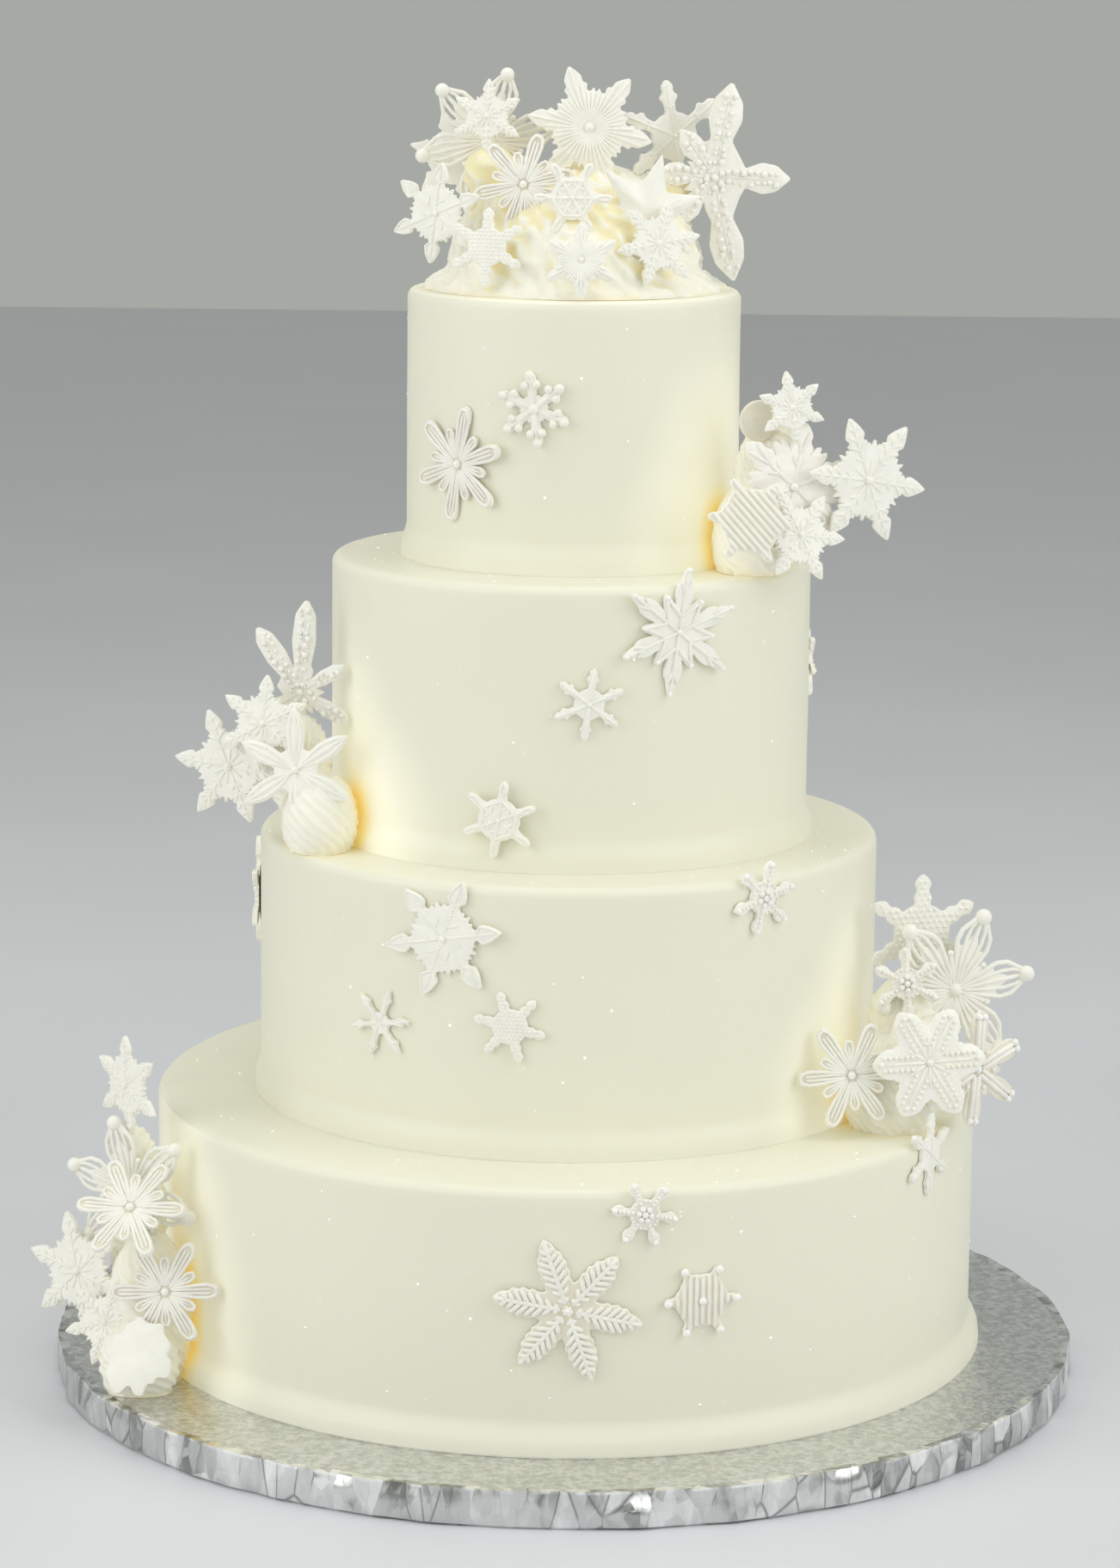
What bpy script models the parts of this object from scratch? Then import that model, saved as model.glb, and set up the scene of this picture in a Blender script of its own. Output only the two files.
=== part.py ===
"""Four-tier cake with icing snowflakes, standing on a foil-covered drum board."""
import math
import random

import bmesh
import bpy
from mathutils import Matrix, Vector

# board and tiers, in metres
BOARD_RADIUS = 0.2537
BOARD_THICK = 0.018
BOARD_EDGE = 0.0015
TIER_RADII = (0.202, 0.1513, 0.1163, 0.0803)
TIER_HEIGHTS = (0.1254, 0.1292, 0.1347, 0.1286)
FOOT_FLARES = (0.0055, 0.003, 0.003, 0.003)
FOOT_HEIGHT = 0.014
TOP_ROUND = 0.0045
GAP = 0.0003
SEGMENTS = 42

# flakes
FLAKE_THICK = 0.0025
SLOT_GAP = 0.00035
UNEVEN_LENGTH = 0.02
UNEVEN_TURN = 1.2
SEED = 12

# height of the board's top and of each tier's top
LEDGES = [BOARD_THICK]
for tier_height in TIER_HEIGHTS:
    LEDGES.append(LEDGES[-1] + tier_height)

# half of an arm as (share of the radius along it, half width), then the points between two arms
# as (share of the radius, degrees from the middle direction)
KINDS = {
    "loops": (((0.80, 0.125), (0.98, 0.07)), ((0.30, -15), (0.60, -5), (0.60, 5), (0.30, 15))),
    "fan": (((0.40, 0.13), (0.62, 0.19), (0.88, 0.06), (1.0, 0.05)), ((0.42, 0),)),
    "rays": (((0.62, 0.17), (0.80, 0.14), (1.0, 0.0)), ((0.55, 0),)),
    "arrow": (((0.50, 0.10), (0.60, 0.17), (0.78, 0.14), (1.0, 0.0)), ((0.46, 0),)),
    "star": (((1.0, 0.0),), ((0.45, 0),)),
    "dendrite": (((0.55, 0.11), (0.64, 0.19), (0.74, 0.11), (1.0, 0.0)), ((0.58, 0),)),
    "chevron": (((0.45, 0.17), (0.72, 0.20), (0.76, 0.12), (1.0, 0.0)), ((0.44, 0),)),
    "lines": (((0.52, 0.12), (0.80, 0.10), (1.0, 0.0)), ((0.42, -15), (0.60, 0), (0.42, 15))),
    "simple": (((0.55, 0.10), (0.75, 0.15), (1.0, 0.0)), ((0.44, 0),)),
    "hexstar": (((0.60, 0.14), (0.96, 0.10)), ((0.55, 0),)),
    "cross": (((0.40, 0.11), (0.62, 0.18), (0.80, 0.15), (1.0, 0.0)), ((0.34, 0),)),
    "long": (((0.30, 0.09), (0.55, 0.13), (0.85, 0.11), (1.0, 0.02)), ((0.27, 0),)),
}
SLOT_ARM = ((0.66, 0.20), (1.03, 0.06))
EVEN_ARMS = tuple((60 * step, 1.0) for step in range(6))
DISC_POINTS = 16

# flakes on the walls: name, tier, kind, radius, spin, azimuth, height above the underside, stand-off
WALL_FLAKES = (
    ("wall4_loops", 4, "loops", 0.028, 10, -41.2, 0.4575, 0.0),
    ("wall4_sprig", 4, "dendrite", 0.0172, -8, -12.9, 0.4859, 0.0),
    ("wall3_lines", 3, "lines", 0.0303, 9, 25.0, 0.3859, 0.0),
    ("wall3_simple", 3, "simple", 0.0171, 7.5, 4.3, 0.353, 0.0),
    ("wall3_hexagon", 3, "hexstar", 0.0195, 8, -15.7, 0.2977, 0.003),
    ("wall3_side", 3, "simple", 0.017, 20, 97.0, 0.353, 0.0),
    ("wall2_arrows", 2, "arrow", 0.0298, 19, -22.2, 0.2467, 0.0),
    ("wall2_thin", 2, "simple", 0.0169, 19, -34.8, 0.2023, 0.0),
    ("wall2_dots", 2, "hexstar", 0.0179, -17, -9.9, 0.2072, 0.0),
    ("wall2_pearls", 2, "hexstar", 0.0188, 15, 36.6, 0.2633, 0.0),
    ("wall2_side", 2, "arrow", 0.027, 0, -92.0, 0.2375, 0.0),
    ("wall1_pearls", 1, "hexstar", 0.0164, -21, 10.3, 0.1326, 0.0),
    ("wall1_chevron", 1, "chevron", 0.035, -18.5, 0.5, 0.0877, 0.0),
    ("wall1_stripes", 1, "hexstar", 0.0185, -31, 18.1, 0.0901, 0.0),
    ("wall1_side", 1, "simple", 0.0204, 4, 58.1, 0.1368, 0.0),
    ("wall3_back", 3, "simple", 0.022, 12, 172.0, 0.342, 0.0),
)

# flakes standing in the heaps: name, ledge, kind, radius, spin, place above the ledge, azimuth, lift
HEAP_FLAKES = (
    ("top_back_left", 4, "dendrite", 0.024, -75, (-0.0575, 0.004, 0.062), -5, 0),
    ("top_back_right", 4, "simple", 0.027, -10, (0.047, 0.0, 0.073), 20, 0),
    ("top_lace", 4, "fan", 0.036, 16, (-0.0415, -0.008, 0.070), -5, 0),
    ("top_arrows", 4, "cross", 0.0465, 0, (0.066, -0.012, 0.054), 12, 0),
    ("top_sprig", 4, "dendrite", 0.018, 0, (-0.042, -0.020, 0.082), -12, 8),
    ("top_rays", 4, "rays", 0.0305, -19, (0.006, -0.020, 0.077), 4, 8),
    ("top_plate", 4, "arrow", 0.0245, 8, (-0.0655, -0.040, 0.0375), -28, 0),
    ("top_star", 4, "star", 0.0285, 15, (0.034, -0.044, 0.0395), 12, 8),
    ("top_loops", 4, "loops", 0.025, 17, (-0.0245, -0.042, 0.0515), -6, 10),
    ("top_lines", 4, "hexstar", 0.0195, 30, (-0.0015, -0.055, 0.046), 2, 8),
    ("top_leaf", 4, "dendrite", 0.021, 20, (0.039, -0.054, 0.0255), 18, 12),
    ("top_dots", 4, "hexstar", 0.0195, 0, (-0.041, -0.058, 0.0235), -14, 12),
    ("top_front", 4, "rays", 0.0185, 0, (0.003, -0.074, 0.0188), 2, 14),
    ("upper_side", 3, "dendrite", 0.0315, -20, (0.1395, -0.058, 0.044), 24, 0),
    ("upper_top", 3, "dendrite", 0.0175, -9, (0.1025, -0.066, 0.079), 18, 6),
    ("upper_plate", 3, "dendrite", 0.0315, 14, (0.104, -0.066, 0.0415), 22, 8),
    ("upper_leaf", 3, "dendrite", 0.023, -23, (0.107, -0.0755, 0.020), 22, 14),
    ("upper_stripes", 3, "hexstar", 0.022, -22, (0.084, -0.086, 0.028), 14, 12),
    ("middle_long", 2, "long", 0.0445, 0, (-0.129, -0.048, 0.073), -14, 0),
    ("middle_side", 2, "dendrite", 0.029, -24, (-0.163, -0.050, 0.037), -22, 0),
    ("middle_upper", 2, "dendrite", 0.0235, 2, (-0.146, -0.060, 0.0595), -18, 8),
    ("middle_star", 2, "star", 0.0305, -5, (-0.130, -0.0725, 0.0395), -12, 10),
    ("lower_dots", 1, "hexstar", 0.030, 2, (0.170, -0.060, 0.090), 16, 0),
    ("lower_lace", 1, "fan", 0.0415, 22, (0.1865, -0.064, 0.063), 20, 0),
    ("lower_petals", 1, "rays", 0.0175, -2, (0.162, -0.0775, 0.069), 14, 8),
    ("lower_lines", 1, "simple", 0.028, 8, (0.1955, -0.088, 0.030), 32, 4),
    ("lower_pearls", 1, "hexstar", 0.0295, -31, (0.1715, -0.105, 0.0375), 16, 10),
    ("lower_loops", 1, "loops", 0.027, 26, (0.135, -0.105, 0.0305), 8, 12),
    ("board_thin", 0, "dendrite", 0.0247, -5, (-0.210, -0.084, 0.142), -50, 0),
    ("board_lace", 0, "fan", 0.037, -15, (-0.208, -0.090, 0.091), -28, 0),
    ("board_side", 0, "dendrite", 0.030, -16, (-0.234, -0.086, 0.050), -32, 4),
    ("board_rosette", 0, "loops", 0.0277, 30, (-0.206, -0.115, 0.0905), -12, 40),
    ("board_loops", 0, "loops", 0.027, 26, (-0.189, -0.1205, 0.051), -8, 14),
)

# flakes with arms of their own directions and lengths
ODD_ARMS = {
    "top_arrows": ((10, 1.0), (90, 0.80), (167, 1.08), (222, 0.62), (275, 0.62), (325, 0.62)),
    "middle_long": ((3, 1.0), (58, 0.56), (120, 0.62), (180, 0.5), (240, 0.62), (324, 0.84)),
}

# small plates that are one with their heap
FUSED_FLAKES = {
    "mound_upper": (("disc", 0.010, 10, (0.0875, -0.060, 0.072), 20, 0),),
    "mound_board": (
        ("dendrite", 0.0215, 12, (-0.219, -0.108, 0.0315), -20, 14),
        ("disc", 0.017, 10, (-0.2015, -0.131, 0.022), -14, 20),
    ),
}

# heaps of icing: name, ledge, eggs as (middle above the ledge, half sizes)
MOUNDS = (
    ("mound_top", 4, (
        ((0.0, 0.0, 0.008), (0.062, 0.066, 0.054)),
        ((0.0, 0.0, 0.0), (0.0735, 0.0725, 0.017)),
        ((-0.040, -0.018, 0.055), (0.014, 0.012, 0.014)),
        ((0.044, -0.002, 0.045), (0.016, 0.014, 0.014)),
    )),
    ("mound_upper", 3, (
        ((0.086, -0.052, 0.014), (0.020, 0.025, 0.030)),
        ((0.094, -0.055, 0.042), (0.018, 0.015, 0.031)),
    )),
    ("mound_middle", 2, (
        ((-0.119, -0.064, 0.014), (0.019, 0.022, 0.024)),
        ((-0.130, -0.050, 0.038), (0.017, 0.014, 0.026)),
    )),
    ("mound_lower", 1, (
        ((0.156, -0.082, 0.016), (0.024, 0.021, 0.030)),
        ((0.161, -0.067, 0.042), (0.018, 0.012, 0.030)),
        ((0.187, -0.080, 0.0294), (0.014, 0.009, 0.009)),
    )),
    ("mound_board", 0, (
        ((-0.199, -0.094, 0.030), (0.022, 0.022, 0.044)),
        ((-0.206, -0.079, 0.074), (0.015, 0.012, 0.048)),
        ((-0.205, -0.1035, 0.084), (0.009, 0.014, 0.009)),
        ((-0.202, -0.119, 0.014), (0.020, 0.016, 0.022)),
    )),
)
# flakes that a dab of icing joins to their heap, its radius and how far it sinks into them
DABS = (
    "top_plate", "top_dots", "top_front", "top_leaf", "upper_stripes", "upper_leaf", "upper_top",
    "middle_star", "middle_upper", "lower_loops", "lower_pearls",
)
DAB_RADIUS = 0.009
DAB_SINK = 0.001
# rows and columns of an egg whose half width is at least the given size
EGG_DETAIL = ((0.05, 6, 14), (0.0145, 5, 11), (0.0, 4, 6))
MOUND_CLEARANCE = 0.0005
LUMP = 0.05


def clear_scene():
    """Removes every object the file starts with."""
    for obj in list(bpy.data.objects):
        bpy.data.objects.remove(obj, do_unlink=True)


def make_material(name, color, roughness, metallic=0.0):
    """One Principled material."""
    material = bpy.data.materials.new(name)
    material.use_nodes = True
    shader = material.node_tree.nodes["Principled BSDF"]
    shader.inputs["Base Color"].default_value = (*color, 1.0)
    shader.inputs["Roughness"].default_value = roughness
    shader.inputs["Metallic"].default_value = metallic
    return material


def add_object(name, mesh, color, roughness, metallic=0.0):
    """Links a mesh as a named object with its own material."""
    obj = bpy.data.objects.new(name, mesh)
    bpy.context.scene.collection.objects.link(obj)
    mesh.materials.clear()
    mesh.materials.append(make_material("mat_" + name, color, roughness, metallic))
    return obj


def add_icing(name, mesh):
    """A piece of ivory icing."""
    return add_object(name, mesh, (0.93, 0.91, 0.78), 0.45)


def add_flake(name, mesh):
    """A white icing flake."""
    return add_object(name, mesh, (0.90, 0.89, 0.86), 0.4)


def turned_mesh(name, profile, segments):
    """Closed solid from a profile of (radius, height) turned round the z axis."""
    mesh = bpy.data.meshes.new(name)
    shape = bmesh.new()
    rings = []
    for radius, height in profile:
        ring = []
        for step in range(segments):
            angle = 2 * math.pi * step / segments
            ring.append(shape.verts.new((radius * math.cos(angle), radius * math.sin(angle), height)))
        rings.append(ring)
    for lower, upper in zip(rings, rings[1:]):
        for step in range(segments):
            after = (step + 1) % segments
            shape.faces.new((lower[step], lower[after], upper[after], upper[step]))
    shape.faces.new(list(reversed(rings[0])))
    shape.faces.new(rings[-1])
    shape.to_mesh(mesh)
    shape.free()
    return mesh


def make_board():
    """The drum board with slightly rounded edges."""
    profile = (
        (BOARD_RADIUS - BOARD_EDGE, 0.0),
        (BOARD_RADIUS, BOARD_EDGE),
        (BOARD_RADIUS, BOARD_THICK - BOARD_EDGE),
        (BOARD_RADIUS - BOARD_EDGE, BOARD_THICK),
    )
    add_object("board", turned_mesh("board", profile, SEGMENTS), (0.70, 0.71, 0.72), 0.3, 1.0)


def make_tiers():
    """Each tier with its soft foot and its rounded top edge."""
    for index, radius in enumerate(TIER_RADII):
        low = LEDGES[index] + GAP
        high = LEDGES[index + 1]
        flare = FOOT_FLARES[index]
        profile = (
            (radius + flare * 0.7, low),
            (radius + flare, low + 0.002),
            (radius, low + FOOT_HEIGHT),
            (radius, high - TOP_ROUND),
            (radius - TOP_ROUND * 0.3, high - TOP_ROUND * 0.3),
            (radius - TOP_ROUND, high),
        )
        name = "tier_%d" % (index + 1)
        add_icing(name, turned_mesh(name, profile, SEGMENTS))


def uneven_arms(name, arms):
    """Arms with the small differences of hand piping."""
    source = random.Random("%s %d" % (name, SEED))
    uneven = []
    for turn, share in arms:
        longer = 1 + UNEVEN_LENGTH * source.uniform(-1, 1)
        uneven.append((turn + UNEVEN_TURN * source.uniform(-1, 1), share * longer))
    return uneven


def disc_outline(radius, spin):
    """A round plate with a scalloped edge."""
    points = []
    for step in range(DISC_POINTS):
        angle = math.radians(spin) + 2 * math.pi * step / DISC_POINTS
        reach = radius * (1.0 if step % 2 else 0.9)
        points.append(Vector((reach * math.sin(angle), reach * math.cos(angle))))
    return points


def flake_outline(kind, radius, spin, arms, roomy=False):
    """Outline of a flake as (right, up), clockwise from the arm that points up."""
    if kind == "disc":
        return disc_outline(radius, spin)
    arm, valley = KINDS[kind]
    if roomy and len(arm) > 2 and len(valley) == 1:
        arm = SLOT_ARM
    points = []
    for index, (turn, share) in enumerate(arms):
        angle = math.radians(spin + turn)
        ahead = Vector((math.sin(angle), math.cos(angle))) * radius * share
        aside = Vector((math.cos(angle), -math.sin(angle))) * radius * min(1.0, share * 1.1)
        for along, half in arm:
            if half > 0:
                points.append(ahead * along - aside * half)
        for along, half in reversed(arm):
            points.append(ahead * along + aside * half)
        after = arms[(index + 1) % len(arms)][0]
        if index == len(arms) - 1:
            after += 360
        for reach, degrees in valley:
            middle = math.radians(spin + (turn + after) / 2 + degrees * (after - turn) / 60)
            points.append(Vector((math.sin(middle), math.cos(middle))) * radius * reach)
    return points


def grown_outline(points, distance):
    """The outline moved outwards all round."""
    grown = []
    for index, point in enumerate(points):
        before = (point - points[index - 1]).normalized()
        after = (points[(index + 1) % len(points)] - point).normalized()
        first = Vector((-before.y, before.x))
        second = Vector((-after.y, after.x))
        share = max(0.35, 1 + first.dot(second))
        grown.append(point + (first + second) * distance / share)
    return grown


def placing(azimuth, lift, centre):
    """Matrix that stands an outline up, facing outwards at the azimuth and tipped back by the lift."""
    side = math.radians(azimuth)
    rise = math.radians(lift)
    normal = Vector((math.sin(side) * math.cos(rise), -math.cos(side) * math.cos(rise), math.sin(rise)))
    right = Vector((math.cos(side), math.sin(side), 0.0))
    up = normal.cross(right)
    turn = Matrix((right, up, normal)).transposed().to_4x4()
    return Matrix.Translation(centre) @ turn


def plate_mesh(name, points, thick, matrix):
    """Closed flat plate of the given outline."""
    mesh = bpy.data.meshes.new(name)
    shape = bmesh.new()
    front = [shape.verts.new((point.x, point.y, thick / 2)) for point in points]
    back = [shape.verts.new((point.x, point.y, -thick / 2)) for point in points]
    shape.faces.new(list(reversed(front)))
    shape.faces.new(back)
    for index in range(len(points)):
        after = (index + 1) % len(points)
        shape.faces.new((front[index], front[after], back[after], back[index]))
    shape.transform(matrix)
    bmesh.ops.recalc_face_normals(shape, faces=shape.faces)
    shape.to_mesh(mesh)
    shape.free()
    return mesh


def make_wall_flakes():
    """The flakes stuck flat on the walls."""
    for name, tier, kind, radius, spin, azimuth, height, off in WALL_FLAKES:
        reach = TIER_RADII[tier - 1] + GAP + FLAKE_THICK / 2 + off
        side = math.radians(azimuth)
        centre = Vector((math.sin(side) * reach, -math.cos(side) * reach, height))
        points = flake_outline(kind, radius, spin, uneven_arms(name, EVEN_ARMS))
        add_flake(name, plate_mesh(name, points, FLAKE_THICK, placing(azimuth, 0, centre)))


def heap_plate(row, roomy=False):
    """Outline and matrix of one flake standing in a heap, with plainer arms for its slot if roomy."""
    name, ledge, kind, radius, spin, place, azimuth, lift = row
    arms = uneven_arms(name, ODD_ARMS.get(name, EVEN_ARMS))
    centre = Vector(place) + Vector((0, 0, LEDGES[ledge]))
    return flake_outline(kind, radius, spin, arms, roomy), placing(azimuth, lift, centre)


def make_heap_flakes():
    """The flakes standing in the heaps."""
    for row in HEAP_FLAKES:
        points, matrix = heap_plate(row)
        add_flake(row[0], plate_mesh(row[0], points, FLAKE_THICK, matrix))


def lump(direction, seed):
    """Smooth unevenness of a heap in one direction."""
    wave = math.sin(4.1 * direction.x + 1.3 * seed) + math.sin(5.3 * direction.y - 0.7 * seed)
    return 1 + LUMP * (wave + math.sin(6.7 * direction.z + 2.1 * seed)) / 1.5


def egg_mesh(name, ledge, middle, sizes):
    """One whole lumpy egg of a heap."""
    mesh = bpy.data.meshes.new(name)
    shape = bmesh.new()
    rows, columns = [detail[1:] for detail in EGG_DETAIL if sizes[0] >= detail[0]][0]
    bmesh.ops.create_uvsphere(shape, u_segments=columns, v_segments=rows, radius=1.0)
    for vert in shape.verts:
        direction = vert.co.normalized()
        size = lump(direction, len(name) + 90 * sizes[2])
        spot = Vector((direction.x * sizes[0], direction.y * sizes[1], direction.z * sizes[2])) * size
        vert.co = spot + Vector(middle) + Vector((0, 0, LEDGES[ledge]))
    bmesh.ops.recalc_face_normals(shape, faces=shape.faces)
    shape.to_mesh(mesh)
    shape.free()
    return mesh


def dab_meshes(ledge):
    """A dab of icing behind each flake that would stand free of its heap."""
    dabs = []
    for row in HEAP_FLAKES:
        if row[0] in DABS and row[1] == ledge:
            matrix = heap_plate(row)[1]
            behind = matrix @ Vector((0, 0, DAB_SINK - DAB_RADIUS - FLAKE_THICK / 2))
            middle = behind - Vector((0, 0, LEDGES[ledge]))
            dabs.append(egg_mesh("dab", ledge, middle, (DAB_RADIUS,) * 3))
    return dabs


def mound_limits(ledge):
    """Turned solids that cut a heap off just above its ledge and just outside the wall behind it."""
    foot = LEDGES[ledge] + GAP
    below = foot - 0.2
    limits = [turned_mesh("below", ((0.4, below), (0.4, foot)), SEGMENTS)]
    if ledge < len(TIER_RADII):
        wall = TIER_RADII[ledge] + FOOT_FLARES[ledge] + MOUND_CLEARANCE
        limits.append(turned_mesh("wall", ((wall, below - 0.01), (wall, foot + 0.3)), SEGMENTS))
    return limits


def combine(obj, cutters, operation):
    """Applies one Boolean of the object with a group of meshes and returns the new mesh."""
    group = bpy.data.collections.new("cutters")
    bpy.context.scene.collection.children.link(group)
    for index, mesh in enumerate(cutters):
        cutter = bpy.data.objects.new("cutter_%d" % index, mesh)
        cutter.hide_render = True
        cutter.display_type = "WIRE"
        group.objects.link(cutter)
    change = obj.modifiers.new("combine", "BOOLEAN")
    change.operation = operation
    change.operand_type = "COLLECTION"
    change.collection = group
    change.solver = "EXACT"
    bpy.context.view_layer.update()
    evaluated = obj.evaluated_get(bpy.context.evaluated_depsgraph_get())
    mesh = bpy.data.meshes.new_from_object(evaluated)
    obj.modifiers.clear()
    for cutter in list(group.objects):
        bpy.data.objects.remove(cutter, do_unlink=True)
    bpy.data.collections.remove(group)
    return mesh


def keep_largest(mesh):
    """Removes the slivers that a slot has cut off."""
    shape = bmesh.new()
    shape.from_mesh(mesh)
    left = set(shape.verts)
    islands = []
    while left:
        island = set()
        stack = [left.pop()]
        while stack:
            vert = stack.pop()
            island.add(vert)
            for edge in vert.link_edges:
                other = edge.other_vert(vert)
                if other in left:
                    left.discard(other)
                    stack.append(other)
        islands.append(island)
    islands.sort(key=len)
    for island in islands[:-1]:
        bmesh.ops.delete(shape, geom=list(island), context="VERTS")
    shape.to_mesh(mesh)
    shape.free()


def make_mounds():
    """The heaps, with a slot round every flake that stands in them and small plates fused on."""
    for name, ledge, eggs in MOUNDS:
        obj = add_icing(name, egg_mesh(name, ledge, *eggs[0]))
        for middle, sizes in eggs[1:]:
            obj.data = combine(obj, [egg_mesh("egg", ledge, middle, sizes)], "UNION")
        for dab in dab_meshes(ledge):
            obj.data = combine(obj, [dab], "UNION")
        obj.data = combine(obj, mound_limits(ledge), "DIFFERENCE")
        slots = []
        for row in HEAP_FLAKES:
            if row[1] != ledge:
                continue
            points, matrix = heap_plate(row, True)
            thick = FLAKE_THICK + 2 * SLOT_GAP
            slots.append(plate_mesh("slot", grown_outline(points, SLOT_GAP), thick, matrix))
        cut = combine(obj, slots, "DIFFERENCE")
        keep_largest(cut)
        obj.data = cut
        fused = []
        for kind, radius, spin, place, side, lift in FUSED_FLAKES.get(name, ()):
            matrix = placing(side, lift, Vector(place) + Vector((0, 0, LEDGES[ledge])))
            points = flake_outline(kind, radius, spin, uneven_arms(name, EVEN_ARMS))
            fused.append(plate_mesh("fused", points, FLAKE_THICK, matrix))
        if fused:
            obj.data = combine(obj, fused, "UNION")
        print(name, len(obj.data.vertices), len(obj.data.polygons))


clear_scene()
make_board()
make_tiers()
make_wall_flakes()
make_heap_flakes()
make_mounds()
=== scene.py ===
"""Four-tier cake in ivory icing with piped white snowflakes, on a foil-covered board."""

import math
import random

import bmesh
import bpy
from mathutils import Matrix, Vector, noise


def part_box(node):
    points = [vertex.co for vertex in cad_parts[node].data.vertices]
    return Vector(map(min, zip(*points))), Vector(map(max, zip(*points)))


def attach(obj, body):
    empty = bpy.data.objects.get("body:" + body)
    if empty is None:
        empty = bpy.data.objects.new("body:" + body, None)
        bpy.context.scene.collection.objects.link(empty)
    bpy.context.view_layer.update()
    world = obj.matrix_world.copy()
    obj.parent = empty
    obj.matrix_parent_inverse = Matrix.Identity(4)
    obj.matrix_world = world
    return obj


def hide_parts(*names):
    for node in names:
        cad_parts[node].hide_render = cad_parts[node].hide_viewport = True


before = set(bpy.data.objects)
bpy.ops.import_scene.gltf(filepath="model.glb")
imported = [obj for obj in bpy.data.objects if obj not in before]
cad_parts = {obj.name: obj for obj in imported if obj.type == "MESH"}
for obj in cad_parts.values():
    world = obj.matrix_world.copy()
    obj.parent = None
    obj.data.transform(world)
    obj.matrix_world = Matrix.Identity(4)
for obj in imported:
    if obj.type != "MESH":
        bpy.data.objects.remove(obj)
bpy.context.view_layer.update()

bl_info = {
    "name": "Snowflake Wedding Cake",
    "version": (1, 0, 0),
    "blender": (4, 5, 0),
    "location": "View3D > Sidebar > Cake",
    "description": "Dresses a tiered cake with smooth icing, piped snowflakes and a foil board",
    "category": "Object",
}

TIERS = ("tier_1", "tier_2", "tier_3", "tier_4")
PICTURE = (1302, 1823)

# height of the board's top and of each tier's top
LEDGES = [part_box("board")[1][2]]
for tier_name in TIERS:
    LEDGES.append(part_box(tier_name)[1][2])

# how far each tier's foot flares out from its wall
FLARES = (0.0055, 0.003, 0.003, 0.003)

# every flake: how it is piped, the direction of its first arm in degrees, and its finish unless that is white
FLAKES = {
    "wall4_loops": ("loops", 10, "pearly"),
    "wall4_sprig": ("sprig", -8),
    "wall3_lines": ("lattice", 9),
    "wall3_simple": ("barbs", 7.5),
    "wall3_hexagon": ("hexagon", 8),
    "wall3_side": ("barbs", 20),
    "wall2_arrows": ("arrows", 19),
    "wall2_thin": ("curls", 19),
    "wall2_dots": ("dots", -17),
    "wall2_pearls": ("pearls", 15),
    "wall2_side": ("arrows", 0),
    "wall1_pearls": ("pearls", -21),
    "wall1_chevron": ("chevron", -18.5),
    "wall1_stripes": ("stripes", -31),
    "wall1_side": ("barbs", 4),
    "wall3_back": ("barbs", 12),
    "top_back_left": ("plain", -75),
    "top_back_right": ("barbs", -10),
    "top_lace": ("lace", 16),
    "top_arrows": ("beaded", 10, "glassy"),
    "top_sprig": ("dendrite", 0),
    "top_rays": ("rays", -19),
    "top_plate": ("arrows", 8),
    "top_star": ("star", 15),
    "top_loops": ("loops", 17, "pearly"),
    "top_lines": ("hexagon", 30),
    "top_leaf": ("dendrite", 20),
    "top_dots": ("dots", 0),
    "top_front": ("rays", 0),
    "upper_side": ("dendrite", -20),
    "upper_top": ("dendrite", -9),
    "upper_plate": ("veins", 14, "pearly"),
    "upper_leaf": ("dendrite", -23),
    "upper_stripes": ("stripes", -22),
    "middle_long": ("beaded", 3, "glassy"),
    "middle_side": ("dendrite", -24),
    "middle_upper": ("dendrite", 2),
    "middle_star": ("leaves", -5),
    "lower_dots": ("dots", 2),
    "lower_lace": ("lace", 22),
    "lower_petals": ("pearls", -2),
    "lower_lines": ("tubes", 8, "pearly"),
    "lower_pearls": ("spokes", -31, "glassy"),
    "lower_loops": ("loops", 26),
    "board_thin": ("dendrite", -5),
    "board_lace": ("lace", -15),
    "board_side": ("dendrite", -16),
    "board_rosette": ("loops", 30),
    "board_loops": ("loops", 26, "pearly"),
}

# directions of the arms that aren't a sixth of a turn apart, and the middle as in the CAD part
ODD_ARMS = {
    "top_arrows": (10, 90, 167, 222, 275, 325),
    "middle_long": (3, 58, 120, 180, 240, 324),
}
ODD_MIDDLES = {
    "top_arrows": Vector((0.066, -0.012, 0.054 + LEDGES[4])),
    "middle_long": Vector((-0.129, -0.048, 0.073 + LEDGES[2])),
}

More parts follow.
